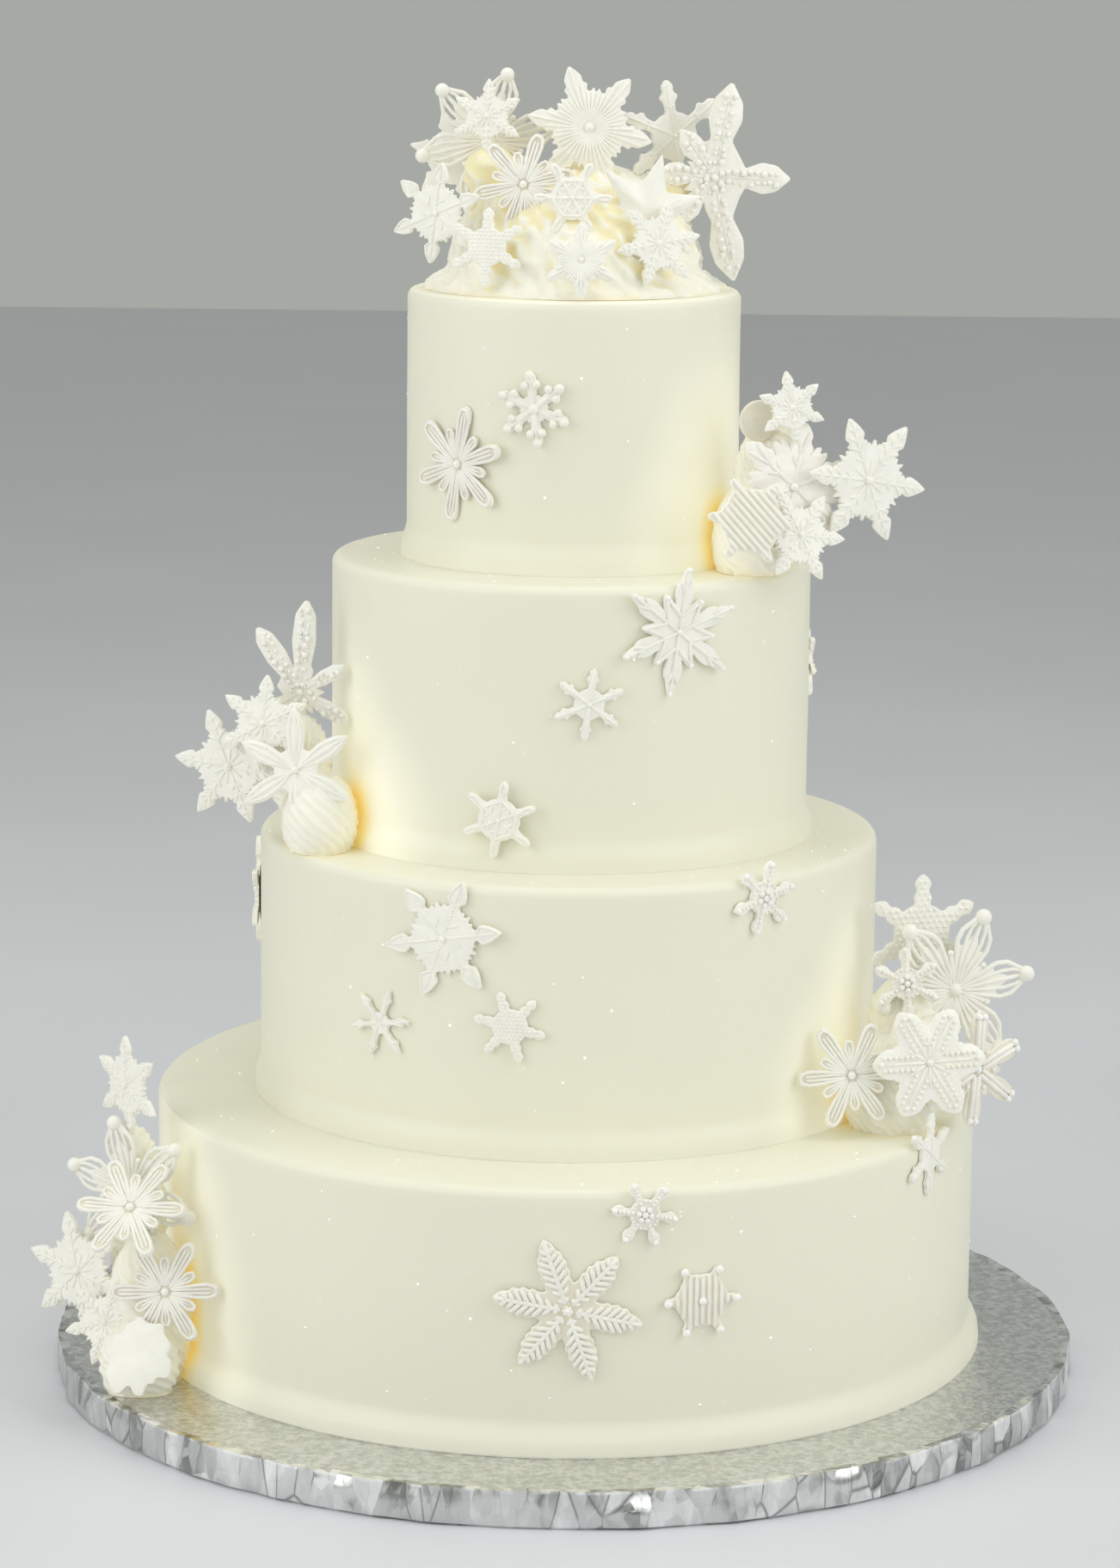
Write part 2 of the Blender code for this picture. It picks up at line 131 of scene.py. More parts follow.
# half of an arm as (share of its length, half width), then the points up to the next arm
# as (share of the radius, degrees from the middle direction)
OUTLINES = {
    "dendrite": (
        ((0.50, 0.10), (0.58, 0.17), (0.62, 0.10), (0.70, 0.155), (0.80, 0.12), (0.92, 0.055), (1.0, 0.0)),
        ((0.58, -11), (0.50, -5), (0.63, 0), (0.50, 5), (0.58, 11)),
    ),
    "barbs": (
        ((0.42, 0.09), (0.60, 0.10), (0.70, 0.18), (0.79, 0.09), (0.90, 0.11), (1.0, 0.03)),
        ((0.42, 0),),
    ),
    "loops": (
        ((0.30, 0.075), (0.60, 0.10), (0.80, 0.135), (0.93, 0.12), (1.0, 0.05)),
        ((0.30, -14), (0.56, -8), (0.63, 0), (0.56, 8), (0.30, 14)),
    ),
    "lace": (
        ((0.40, 0.13), (0.55, 0.18), (0.68, 0.16), (0.82, 0.08), (0.92, 0.05)),
        ((0.42, 0),),
    ),
    "rays": (
        ((0.56, 0.15), (0.66, 0.19), (0.70, 0.13), (0.80, 0.14), (0.90, 0.08), (1.0, 0.0)),
        ((0.56, -9), (0.63, -4), (0.55, 0), (0.63, 4), (0.56, 9)),
    ),
    "lattice": (
        ((0.42, 0.12), (0.60, 0.15), (0.72, 0.13), (0.76, 0.09), (0.90, 0.06), (1.0, 0.015)),
        ((0.42, -14), (0.61, -3), (0.61, 3), (0.42, 14)),
    ),
    "hexagon": (
        ((0.52, 0.12), (0.70, 0.10), (0.85, 0.11), (0.95, 0.08), (1.0, 0.02)),
        ((0.54, 0),),
    ),
    "arrows": (
        ((0.50, 0.12), (0.57, 0.07), (0.66, 0.155), (0.78, 0.13), (0.90, 0.07), (1.0, 0.0)),
        ((0.55, -11), (0.48, -6), (0.60, 0), (0.48, 6), (0.55, 11)),
    ),
    "curls": (
        ((0.30, 0.07), (0.60, 0.07), (0.72, 0.15), (0.80, 0.08), (1.0, 0.02)),
        ((0.30, 0),),
    ),
    "dots": (
        ((0.48, 0.12), (0.62, 0.15), (0.72, 0.09), (0.85, 0.14), (0.95, 0.08), (1.0, 0.02)),
        ((0.48, 0),),
    ),
    "pearls": (
        ((0.42, 0.11), (0.58, 0.10), (0.70, 0.17), (0.84, 0.16), (1.0, 0.01)),
        ((0.44, 0),),
    ),
    "chevron": (
        (
            (0.42, 0.17), (0.50, 0.20), (0.54, 0.17), (0.63, 0.20), (0.67, 0.16),
            (0.76, 0.17), (0.80, 0.11), (0.90, 0.09), (1.0, 0.0),
        ),
        ((0.37, 0),),
    ),
    "stripes": (
        ((0.72, 0.13), (0.82, 0.10), (0.92, 0.10), (1.0, 0.04)),
        ((0.70, -8), (0.66, 0), (0.70, 8)),
    ),
    "tubes": (
        ((0.36, 0.12), (0.60, 0.17), (0.80, 0.16), (0.90, 0.11), (1.0, 0.0)),
        ((0.46, -6), (0.52, 0), (0.46, 6)),
    ),
    "spokes": (
        ((0.62, 0.25), (0.76, 0.25), (0.88, 0.17), (0.96, 0.08), (1.0, 0.0)),
        ((0.66, -4), (0.60, 0), (0.66, 4)),
    ),
    "leaves": (
        ((0.34, 0.12), (0.52, 0.15), (0.70, 0.14), (0.86, 0.09), (1.0, 0.0)),
        ((0.34, 0),),
    ),
    "sprig": (
        ((0.34, 0.13), (0.50, 0.13), (0.58, 0.21), (0.72, 0.23), (0.78, 0.14), (0.92, 0.14), (1.0, 0.05)),
        ((0.42, 0),),
    ),
    "veins": (
        ((0.50, 0.14), (0.62, 0.20), (0.72, 0.13), (0.82, 0.15), (0.93, 0.08), (1.0, 0.0)),
        ((0.70, -9), (0.74, -4), (0.64, 0), (0.74, 4), (0.70, 9)),
    ),
}

# heaps of icing as in the CAD part: ledge, eggs as (middle above the ledge, half sizes)
HEAPS = {
    "mound_top": (4, (
        ((0.0, 0.0, 0.008), (0.062, 0.066, 0.054)),
        ((0.0, 0.0, 0.0), (0.0735, 0.0725, 0.017)),
        ((-0.040, -0.018, 0.055), (0.014, 0.012, 0.014)),
        ((0.044, -0.002, 0.045), (0.016, 0.014, 0.014)),
    )),
    "mound_upper": (3, (
        ((0.086, -0.052, 0.014), (0.020, 0.025, 0.030)),
        ((0.094, -0.050, 0.042), (0.018, 0.0125, 0.031)),
    )),
    "mound_middle": (2, (
        ((-0.119, -0.064, 0.014), (0.019, 0.022, 0.024)),
        ((-0.130, -0.050, 0.038), (0.017, 0.014, 0.026)),
    )),
    "mound_lower": (1, (
        ((0.156, -0.082, 0.016), (0.024, 0.021, 0.030)),
        ((0.161, -0.067, 0.042), (0.018, 0.012, 0.030)),
        ((0.187, -0.080, 0.0294), (0.014, 0.009, 0.009)),
    )),
    "mound_board": (0, (
        ((-0.199, -0.094, 0.030), (0.022, 0.022, 0.044)),
        ((-0.206, -0.079, 0.074), (0.015, 0.012, 0.048)),
        ((-0.205, -0.1035, 0.084), (0.009, 0.014, 0.009)),
        ((-0.202, -0.117, 0.014), (0.020, 0.0125, 0.022)),
    )),
}

# flakes that a dab of icing joins to their heap, and its radius
DABS = {
    "mound_top": ("top_plate", "top_dots", "top_front", "top_leaf"),
    "mound_upper": ("upper_stripes", "upper_top"),
    "mound_middle": ("middle_star", "middle_upper"),
    "mound_lower": ("lower_loops", "lower_pearls"),
    "mound_board": (),
}
DAB_RADIUS = 0.009

# gap between a heap and its ledge
HEAP_GAP = 0.0001

# swirls of a heap: depth, strokes round it, their slope and bend, share of small lumps,
# paleness of its folds against their painted yellow shade, and strength of the painted warm glow at its foot
SWIRLS = {
    "top": (1.5, 14.0, 280.0, 2.4, 0.50, 0.62, 0.35),
    "side": (1.35, 9.0, 520.0, 1.6, 0.25, 0.74, 0.45),
}

# corners of a piped strand seen along it
STRAND_SIDES = 8

# small plates that are one with their heap: thickness, then style, radius, spin, place above the ledge,
# azimuth and lift of each
SMALL_PLATE = 0.0025
FUSED = {
    "mound_upper": (("disc", 0.010, 10, (0.0875, -0.060, 0.072), 20, 0),),
    "mound_board": (
        ("dendrite", 0.0215, 12, (-0.219, -0.108, 0.0315), -20, 14),
        ("notched", 0.019, 10, (-0.2015, -0.131, 0.022), -14, 20),
    ),
}


CENTRE = Vector((0.0, 0.0))


def active(context):
    """The settings that hold every size and colour."""
    return context.scene.snowflake_cake


def length(name, description, default):
    """A setting in metres."""
    return bpy.props.FloatProperty(name=name, description=description, default=default, unit="LENGTH")


def tint(name, description, default):
    """A setting for a colour."""
    return bpy.props.FloatVectorProperty(name=name, description=description, default=default, subtype="COLOR")


class CakeSettings(bpy.types.PropertyGroup):
    """Sizes and colours of the cake's icing, flakes and board."""

    line_width: length("Line width", "Thickness of a piped line on a flake", 0.0018)
    lace_width: length("Lace width", "Thickness of the free strands of a lace flake", 0.0025)
    pearl_size: length("Pearl size", "Diameter of a sugar pearl", 0.0032)
    edge_round: length("Edge rounding", "Rounding of a flake's edges", 0.0005)
    hand_wobble: length("Hand wobble", "Unevenness of the smoothed tiers", 0.00022)
    swirl_depth: length("Swirl depth", "Depth of the strokes in the heaps of icing", 0.0011)
    foil_crease: length("Foil crease", "Depth of the creases round the board's rim", 0.0013)
    speck_count: bpy.props.IntProperty(name="Sugar specks", description="Number of sugar specks", default=420)
    ivory: tint("Ivory icing", "Colour of the icing on the tiers", (0.90, 0.885, 0.73))
    white: tint("White icing", "Colour of the flakes", (0.97, 0.955, 0.875))
    foil: tint("Foil", "Colour of the board's foil", (0.82, 0.83, 0.82))


class Number:
    """A shader socket that adds and multiplies like a number."""

    def __init__(self, recipe, socket):
        self.recipe = recipe
        self.socket = socket

    def __add__(self, other):
        return self.recipe.math("ADD", self, other)

    def __mul__(self, other):
        return self.recipe.math("MULTIPLY", self, other)

    def __sub__(self, other):
        return self.recipe.math("SUBTRACT", self, other)


class Recipe:
    """One material while its nodes are laid out."""

    def __init__(self, name):
        self.material = bpy.data.materials.new(name)
        self.material.use_nodes = True
        self.tree = self.material.node_tree
        self.shader = self.tree.nodes["Principled BSDF"]
        self.places = self.node("ShaderNodeTexCoord").outputs["Object"]

    def node(self, kind, settings=None, sockets=None):
        """Adds a node with its settings first and then its socket values or links."""
        node = self.tree.nodes.new(kind)
        for key, value in (settings or {}).items():
            if key == "stops":
                self.fill_ramp(node.color_ramp, value)
            else:
                setattr(node, key, value)
        for key, value in (sockets or {}).items():
            self.feed(node.inputs[key], value)
        return node

    def fill_ramp(self, ramp, stops):
        """Sets the stops of a colour ramp."""
        while len(ramp.elements) < len(stops):
            ramp.elements.new(0.5)
        for element, (position, color) in zip(ramp.elements, stops):
            element.position = position
            element.color = (*color, 1.0)

    def feed(self, socket, value):
        """Links a socket or sets its value."""
        if isinstance(value, (Number, bpy.types.NodeSocket)):
            self.tree.links.new(getattr(value, "socket", value), socket)
        elif isinstance(value, tuple) and socket.type == "RGBA":
            socket.default_value = (*value, 1.0)
        else:
            socket.default_value = value

    def math(self, operation, first, second):
        """A Math node on two values."""
        node = self.node("ShaderNodeMath", {"operation": operation}, {0: first, 1: second})
        return Number(self, node.outputs[0])

    def noise(self, scale, detail=3.0, rough=0.5, where=None):
        """A noise pattern from 0 to 1 over the piece."""
        sockets = {"Vector": where or self.places, "Scale": scale, "Detail": detail, "Roughness": rough}
        return Number(self, self.node("ShaderNodeTexNoise", None, sockets).outputs["Fac"])

    def cells(self, scale, feature="F1", where=None):
        """Distance to the nearest point of a scattered set, or to the edge between two of them."""
        sockets = {"Vector": where or self.places, "Scale": scale}
        node = self.node("ShaderNodeTexVoronoi", {"feature": feature}, sockets)
        return Number(self, node.outputs["Distance"])

    def vector(self, operation, first, second):
        """The outputs of a Vector Math node on two vectors."""
        return self.node("ShaderNodeVectorMath", {"operation": operation}, {0: first, 1: second}).outputs

    def facets(self, where, scale):
        """A tone and a height of flat facets, each tilted its own way."""
        cell = self.node("ShaderNodeTexVoronoi", None, {"Vector": where, "Scale": scale}).outputs
        away = self.vector("SUBTRACT", where, cell["Position"])
        tilt = self.vector("SUBTRACT", cell["Color"], (0.5, 0.5, 0.5))
        slope = self.vector("DOT_PRODUCT", tilt[0], away[0])
        tone = self.node("ShaderNodeSeparateColor", None, {0: cell["Color"]})
        return Number(self, tone.outputs[1]), Number(self, slope["Value"])

    def span(self, value, low, high, first=0.0, last=1.0):
        """Maps a value from one range to another and keeps it within."""
        sockets = {"Value": value, "From Min": low, "From Max": high, "To Min": first, "To Max": last}
        node = self.node("ShaderNodeMapRange", {"clamp": True}, sockets)
        return Number(self, node.outputs["Result"])

    def blend(self, share, first, second):
        """Mixes two colours."""
        return self.node("ShaderNodeMix", {"data_type": "RGBA"}, {0: share, 6: first, 7: second}).outputs[2]

    def gloss(self, scale, least, most, detail=2.0):
        """An uneven roughness."""
        return self.span(self.noise(scale, detail), 0.3, 0.7, least, most)

    def attribute(self, name):
        """A number stored on the piece's own points."""
        node = self.node("ShaderNodeAttribute", {"attribute_name": name})
        return Number(self, node.outputs["Fac"])

    def bump(self, height, distance, strength=1.0):
        """Fine relief on the surface."""
        sockets = {"Height": height, "Distance": distance, "Strength": strength}
        self.feed(self.shader.inputs["Normal"], self.node("ShaderNodeBump", None, sockets).outputs[0])

    def painted_glow(self, halo, warmth):
        """Painted glow, as emission, that stands in for light coming through the icing: pale round a heap,
        yellow where the heap is pressed on.
        """
        pale = self.blend(halo, (0.0, 0.0, 0.0), (1.0, 0.95, 0.76))
        self.feed(self.shader.inputs["Emission Color"], self.blend(warmth, pale, (0.78, 0.60, 0.20)))
        self.feed(self.shader.inputs["Emission Strength"], 0.20)

    def finish(self, color, rough, **constants):
        """Feeds the shader and sets its constant sockets."""
        for key, value in {"Base_Color": color, "Roughness": rough, **constants}.items():
            self.feed(self.shader.inputs[key.replace("_", " ")], value)
        return self.material


def known(name, build):
    """A material made once and used again."""
    return bpy.data.materials.get(name) or build(name)


def shade(color, factor):
    """A colour made darker or lighter."""
    return tuple(min(1.0, part * factor) for part in color)


def soft(weight, *radius):
    """The shader's constants for icing that light goes through."""
    return {"Subsurface_Weight": weight, "Subsurface_Radius": radius, "Subsurface_Scale": 1.0}


def ivory_icing(name):
    """Smooth satin buttercream with painted yellow glow mixed into its colour where a heap stands against it,
    and painted pale glow in the heap's shade.
    """
    ivory = tuple(active(bpy.context).ivory)
    recipe = Recipe(name)
    warmth = recipe.attribute("warmth")
    cloud = recipe.span(recipe.noise(9.0, 2.0), 0.35, 0.65)
    # painted yellow glow: the colour turns yellow where the warm-glow attribute is high, and the emission
    # below glows with it
    base = recipe.blend(warmth, recipe.blend(cloud, shade(ivory, 0.985), ivory), (1.0, 0.84, 0.40))
    recipe.painted_glow(recipe.attribute("halo"), warmth)
    recipe.bump(recipe.noise(38.0, 3.0, 0.55) * 0.8 + recipe.noise(900.0, 2.0) * 0.05, 0.0005, 0.35)
    rough = recipe.gloss(60.0, 0.42, 0.54, 3.0)
    return recipe.finish(base, rough, Coat_Weight=0.06, Coat_Roughness=0.3, **soft(0.12, 0.010, 0.007, 0.003))


def heap_icing(name):
    """Soft spooned icing with painted yellow shade in its folds, a faint painted glow all over and a painted
    yellow glow where it is pressed against a tier.
    """
    recipe = Recipe(name)
    warmth = recipe.attribute("warmth")
    # the fold attribute is pale on the swirls' ridges; low values paint yellow shade in their valleys and
    # under the flakes
    folds = recipe.span(recipe.attribute("fold"), 0.0, 0.30)
    pale = recipe.blend(folds, (0.96, 0.87, 0.56), (0.985, 0.96, 0.83))
    grain = recipe.noise(260.0, 4.0, 0.6)
    recipe.bump(grain, 0.0006, 0.3)
    # a faint painted pale glow lightens the shade of the whole heap
    recipe.painted_glow(0.13, warmth)
    base = recipe.blend(warmth, pale, (1.0, 0.80, 0.34))
    rough = recipe.span(grain, 0.3, 0.7, 0.38, 0.52)
    return recipe.finish(base, rough, **soft(0.25, 0.012, 0.009, 0.004))


# dried icing: scale of its clouds, their two colours or shades of the flakes' white,
# its grain as (scale, depth, strength), its gloss as (scale, least, most), its coat as (weight, roughness)
DRIED = {
    "flake_white": (140.0, 0.98, 1.02, (1500.0, 0.0002, 0.3), (300.0, 0.38, 0.52), (0.08, 0.3)),
    "flake_pearly": (160.0, (0.96, 0.92, 0.86), 1.02, (900.0, 0.0002, 0.3), (500.0, 0.26, 0.4), (0.5, 0.12)),
    "flake_glassy": (
        110.0, (0.96, 0.94, 0.84), (0.98, 0.965, 0.90), (420.0, 0.0004, 0.4), (500.0, 0.20, 0.34), (0.7, 0.12),
    ),
    # darker beige painted on a plate as the shade between close piped lines; the small disc wears it all over
    "flake_groove": (
        160.0, (0.85, 0.80, 0.66), (0.90, 0.85, 0.71), (1200.0, 0.0002, 0.3), (160.0, 0.45, 0.55), (0.0, 0.3),
    ),
}


def dried_icing(name):
    """Hard dried icing: powdery, brushed with pearl dust, or darker beige that paints the shade between piped
    lines.
    """
    scale, *tones, grain, gloss, (coat, blur) = DRIED[name]
    white = tuple(active(bpy.context).white)
    recipe = Recipe(name)
    cloud = recipe.span(recipe.noise(scale, 3.0), 0.35, 0.65)
    colors = [tone if isinstance(tone, tuple) else shade(white, tone) for tone in tones]
    base = recipe.blend(cloud, *colors)
    recipe.bump(recipe.noise(grain[0], 3.0, 0.6), *grain[1:])
    return recipe.finish(base, recipe.gloss(*gloss), Coat_Weight=coat, Coat_Roughness=blur)


def sugar_pearl(name):
    """A glossy silver-white sugar pearl."""
    recipe = Recipe(name)
    rough = recipe.gloss(800.0, 0.14, 0.24)
    return recipe.finish((1.0, 0.985, 0.94), rough, Coat_Weight=0.7, Coat_Roughness=0.08)


def speck_sugar(name):
    """A sugar crystal whose emission paints its glint."""
    recipe = Recipe(name)
    painted_glint = {"Coat_Weight": 1.0, "Emission_Color": (1.0, 0.98, 0.92), "Emission_Strength": 0.3}
    return recipe.finish((1.0, 0.99, 0.95), recipe.gloss(700.0, 0.08, 0.25), **painted_glint)


def foil_top(name):
    """Embossed silver foil, mottled all over."""
    foil = tuple(active(bpy.context).foil)
    recipe = Recipe(name)
    mottle = recipe.noise(300.0, 4.0, 0.65)
    base = recipe.blend(recipe.span(mottle, 0.40, 0.60), shade(foil, 0.76), shade(foil, 1.02))
    recipe.bump(recipe.cells(260.0, "SMOOTH_F1") * 0.6 + mottle, 0.0008, 0.7)
    return recipe.finish(base, recipe.span(mottle, 0.3, 0.7, 0.26, 0.46), Metallic=1.0)


def foil_rim(name):
    """Smooth foil pulled tight over the rim in flat facets, with painted reflections that change from facet to
    facet, painted shade in the creases between them and a painted highlight along its upper edge.
    """
    foil = shade(tuple(active(bpy.context).foil), 0.88)
    recipe = Recipe(name)
    sockets = {"Vector": recipe.places, "Scale": (1.0, 1.0, 0.45)}
    warp = recipe.node("ShaderNodeMapping", None, sockets).outputs[0]
    tone, folds = recipe.facets(warp, 75.0)
    small, more = recipe.facets(warp, 190.0)
    creases = recipe.noise(90.0, 4.0, 0.6, warp)
    # facet tones paint the varied reflections of crumpled foil
    painted_reflection_tone = tone * 0.45 + small * 0.2 + recipe.span(creases, 0.35, 0.65) * 0.35
    stops = ((0.16, shade(foil, 0.50)), (0.34, shade(foil, 0.86)), (0.62, foil), (0.84, shade(foil, 1.25)))
    ramp = recipe.node("ShaderNodeValToRGB", {"stops": stops}, {"Fac": painted_reflection_tone})
    # dark lines along the facet edges paint shade in the creases, hidden in patches
    edge = recipe.span(recipe.cells(75.0, "DISTANCE_TO_EDGE", warp), 0.004, 0.045)
    hidden = recipe.span(recipe.noise(34.0, 2.0), 0.46, 0.54)
    line = edge + hidden - edge * hidden
    painted_crease_shade = recipe.blend(line, shade(foil, 0.45), ramp.outputs["Color"])
    # painted highlight along the rim's upper edge
    height = Number(recipe, recipe.node("ShaderNodeSeparateXYZ", None, {0: recipe.places}).outputs[2])
    painted_highlight = recipe.span(height, LEDGES[0] - 0.0016, LEDGES[0] - 0.0004) * recipe.span(creases, 0.44, 0.58)
    base = recipe.blend(painted_highlight, painted_crease_shade, (1.0, 1.0, 1.0))
    recipe.bump(folds + more * 0.5, 0.6, 1.0)
    rough = recipe.span(creases, 0.3, 0.7, 0.12, 0.26)
    return recipe.finish(base, rough, Metallic=1.0)


def table_top(name):
    """Plain pale table."""
    recipe = Recipe(name)
    cloud = recipe.span(recipe.noise(3.0, 2.0), 0.3, 0.7)
    base = recipe.blend(cloud, (0.73, 0.74, 0.77), (0.76, 0.77, 0.80))
    return recipe.finish(base, recipe.span(cloud, 0.0, 1.0, 0.45, 0.55))


def placed(name, data):
    """A new object in the scene."""
    thing = bpy.data.objects.new(name, data)
    bpy.context.scene.collection.objects.link(thing)
    return thing


def cast(name, shape):
    """A mesh from a bmesh, which is freed."""
    mesh = bpy.data.meshes.new(name)
    shape.to_mesh(mesh)
    shape.free()
    return mesh


def settle(name, shape, materials, nodes, sharp=50.0):
    """Makes a piece from a bmesh, dresses it and lets it stand for its CAD nodes."""
    for face in shape.faces:
        face.smooth = True
    mesh = cast(name, shape)
    for material in materials:
        mesh.materials.append(material)
    mesh.set_sharp_from_angle(angle=math.radians(sharp))
    piece = placed(name, mesh)
    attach(piece, "root")
    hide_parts(*nodes)
    return piece


def store(mesh_piece, name, values):
    """Keeps one number for each point of a piece."""
    layer = mesh_piece.data.attributes.new(name, "FLOAT", "POINT")
    layer.data.foreach_set("value", values)


def heading(angle):
    """Unit direction at a clockwise angle from up, in degrees."""
    return Vector((math.sin(math.radians(angle)), math.cos(math.radians(angle))))


def placing(azimuth, lift, middle):
    """Matrix that stands a flat piece up, facing outwards at the azimuth, tipped back by the lift."""
    side = math.radians(azimuth)
    rise = math.radians(lift)
    normal = Vector((math.sin(side) * math.cos(rise), -math.cos(side) * math.cos(rise), math.sin(rise)))
    right = Vector((math.cos(side), math.sin(side), 0.0))
    turn = Matrix((right, normal.cross(right), normal)).transposed().to_4x4()
    return Matrix.Translation(middle) @ turn


def close_holes(shape):
    """Fills the open edges of a shape."""
    bmesh.ops.holes_fill(shape, edges=[edge for edge in shape.edges if edge.is_boundary], sides=0)


def lathe(profile, steps):
    """Spins a profile of (radius, height) into a closed skin."""
    shape = bmesh.new()
    verts = [shape.verts.new((radius, 0, height)) for radius, height in profile]
    edges = [shape.edges.new(pair) for pair in zip(verts, verts[1:])]
    turn = {"cent": (0, 0, 0), "axis": (0, 0, 1), "angle": 2 * math.pi, "steps": steps, "use_merge": True}
    bmesh.ops.spin(shape, geom=verts + edges, **turn)
    bmesh.ops.remove_doubles(shape, verts=shape.verts, dist=1e-6)
    bmesh.ops.recalc_face_normals(shape, faces=shape.faces)
    close_holes(shape)
    return shape


def arc(middle, radius, first, last, steps):
    """Points of an arc in the (radius, height) plane, angles in degrees from outwards."""
    turns = [math.radians(first + (last - first) * step / steps) for step in range(steps + 1)]
    return [(middle[0] + radius * math.cos(turn), middle[1] + radius * math.sin(turn)) for turn in turns]


def above(ledge, place):
    """A place that is measured from the middle of a ledge."""
    return Vector(place) + Vector((0, 0, LEDGES[ledge]))


def wall_radius(index):
    """Radius of a tier's wall, without the flare of its foot."""
    low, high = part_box(TIERS[index])
    return (high[0] - low[0]) / 2 - FLARES[index]


def reach_at(spot, margin):
    """How far a spot of the icing lies from the heap beside it, 1 at the heap's face plus the margin."""
    nearest = math.inf
    for name, (ledge, eggs) in HEAPS.items():
        if name == "mound_top" or spot.z < LEDGES[ledge] - 0.0005:
            continue
        for middle, sizes in eggs:
            away = spot - above(ledge, middle)
            reach = math.sqrt(sum((away[axis] / (sizes[axis] + margin)) ** 2 for axis in range(3)))
            nearest = min(nearest, reach)
    return nearest


def painted_warm_glow_at(spot):
    """How strongly the painted yellow glow of a heap shows at a spot of the icing nearby."""
    return max(0.0, 1.0 - max(0.0, reach_at(spot, 0.005) - 0.88) / 0.24) ** 1.5


def painted_halo_at(spot):
    """How strongly the painted pale glow, which stands in for light through a heap and fills its shade, shows
    at a spot of the wall beside it.
    """
    share = max(0.0, min(1.0, 1.0 - (reach_at(spot, 0.036) - 0.45) / 0.9))
    return share * share * (3.0 - 2.0 * share)


# steps round a tier and round the board
TIER_STEPS = 192
BOARD_STEPS = 288

# rounding of a tier's upper edge and height of its soft foot
TIER_RIM = 0.0045
TIER_FOOT = 0.0165


def build_tier(index, settings):
    """One tier: soft foot, slightly uneven wall, rounded rim and smoothed top."""
    flare = FLARES[index]
    radius = wall_radius(index)
    foot, top = LEDGES[index] - (0.0004 if index else 0.0), LEDGES[index + 1]
    profile = [(radius * 0.2, foot), (radius * 0.9, foot)]
    profile += arc((radius + flare - 0.0025, foot + 0.0011), 0.0025, -25, 15, 4)
    for share in (0.35, 0.5, 0.62, 0.74, 0.85, 0.94, 1.0):
        slope = 0.5 + 0.5 * math.cos(math.pi * (share - 0.25) / 0.75)
        profile.append((radius + flare * 0.96 * slope, foot + TIER_FOOT * share))
    rows = 26
    start = foot + TIER_FOOT
    profile += [(radius, start + (top - TIER_RIM - start) * row / rows) for row in range(1, rows)]
    profile += arc((radius - TIER_RIM, top - TIER_RIM), TIER_RIM, 0, 90, 7)
    shares = (0.97, 0.93, 0.88, 0.8, 0.7, 0.58, 0.45, 0.3, 0.15, 0.04)
    profile += [((radius - TIER_RIM) * share, top) for share in shares]
    shape = lathe(profile, TIER_STEPS)
    for vert in shape.verts:
        wave = noise.noise(vert.co * 14.0 + Vector((index * 3.1, 0, 0)))
        fine = noise.noise(vert.co * 45.0 + Vector((0, index * 2.3, 0)))
        push = settings.hand_wobble * (wave + 0.35 * fine)
        away = Vector((vert.co.x, vert.co.y, 0))
        if vert.co.z > top - 0.0005 and away.length < radius * 0.93:
            vert.co.z += min(0.0, push) * 2
        elif foot + 0.001 < vert.co.z < top - 0.001:
            vert.co += away.normalized() * (push - settings.hand_wobble * 0.5)
    icing = known("tier_icing", ivory_icing)
    piece = settle("icing_" + TIERS[index], shape, [icing], [TIERS[index]], 60)
    ledge = top - 0.001
    spots = [vert.co for vert in piece.data.vertices]
    # painted glow: tier_4's top glows pale under the top heap; walls glow pale in the shade beside a heap and
    # yellow where it touches
    painted_glow = 0.5 if index == len(TIERS) - 1 else 0.0
    store(piece, "warmth", [painted_warm_glow_at(spot) * (0.25 if spot.z > ledge else 1.0) for spot in spots])
    store(piece, "halo", [painted_glow if spot.z > ledge else painted_halo_at(spot) for spot in spots])
    return piece


class CAKE_OT_tiers(bpy.types.Operator):
    """Ices the four tiers smoothly."""

    bl_idname = "cake.tiers"
    bl_label = "Ice the tiers"

    def execute(self, context):
        for index in range(len(TIERS)):
            build_tier(index, active(context))
        return {"FINISHED"}


def widen(vert, factor):
    """Moves a point away from the cake's axis."""
    vert.co.x *= factor
    vert.co.y *= factor


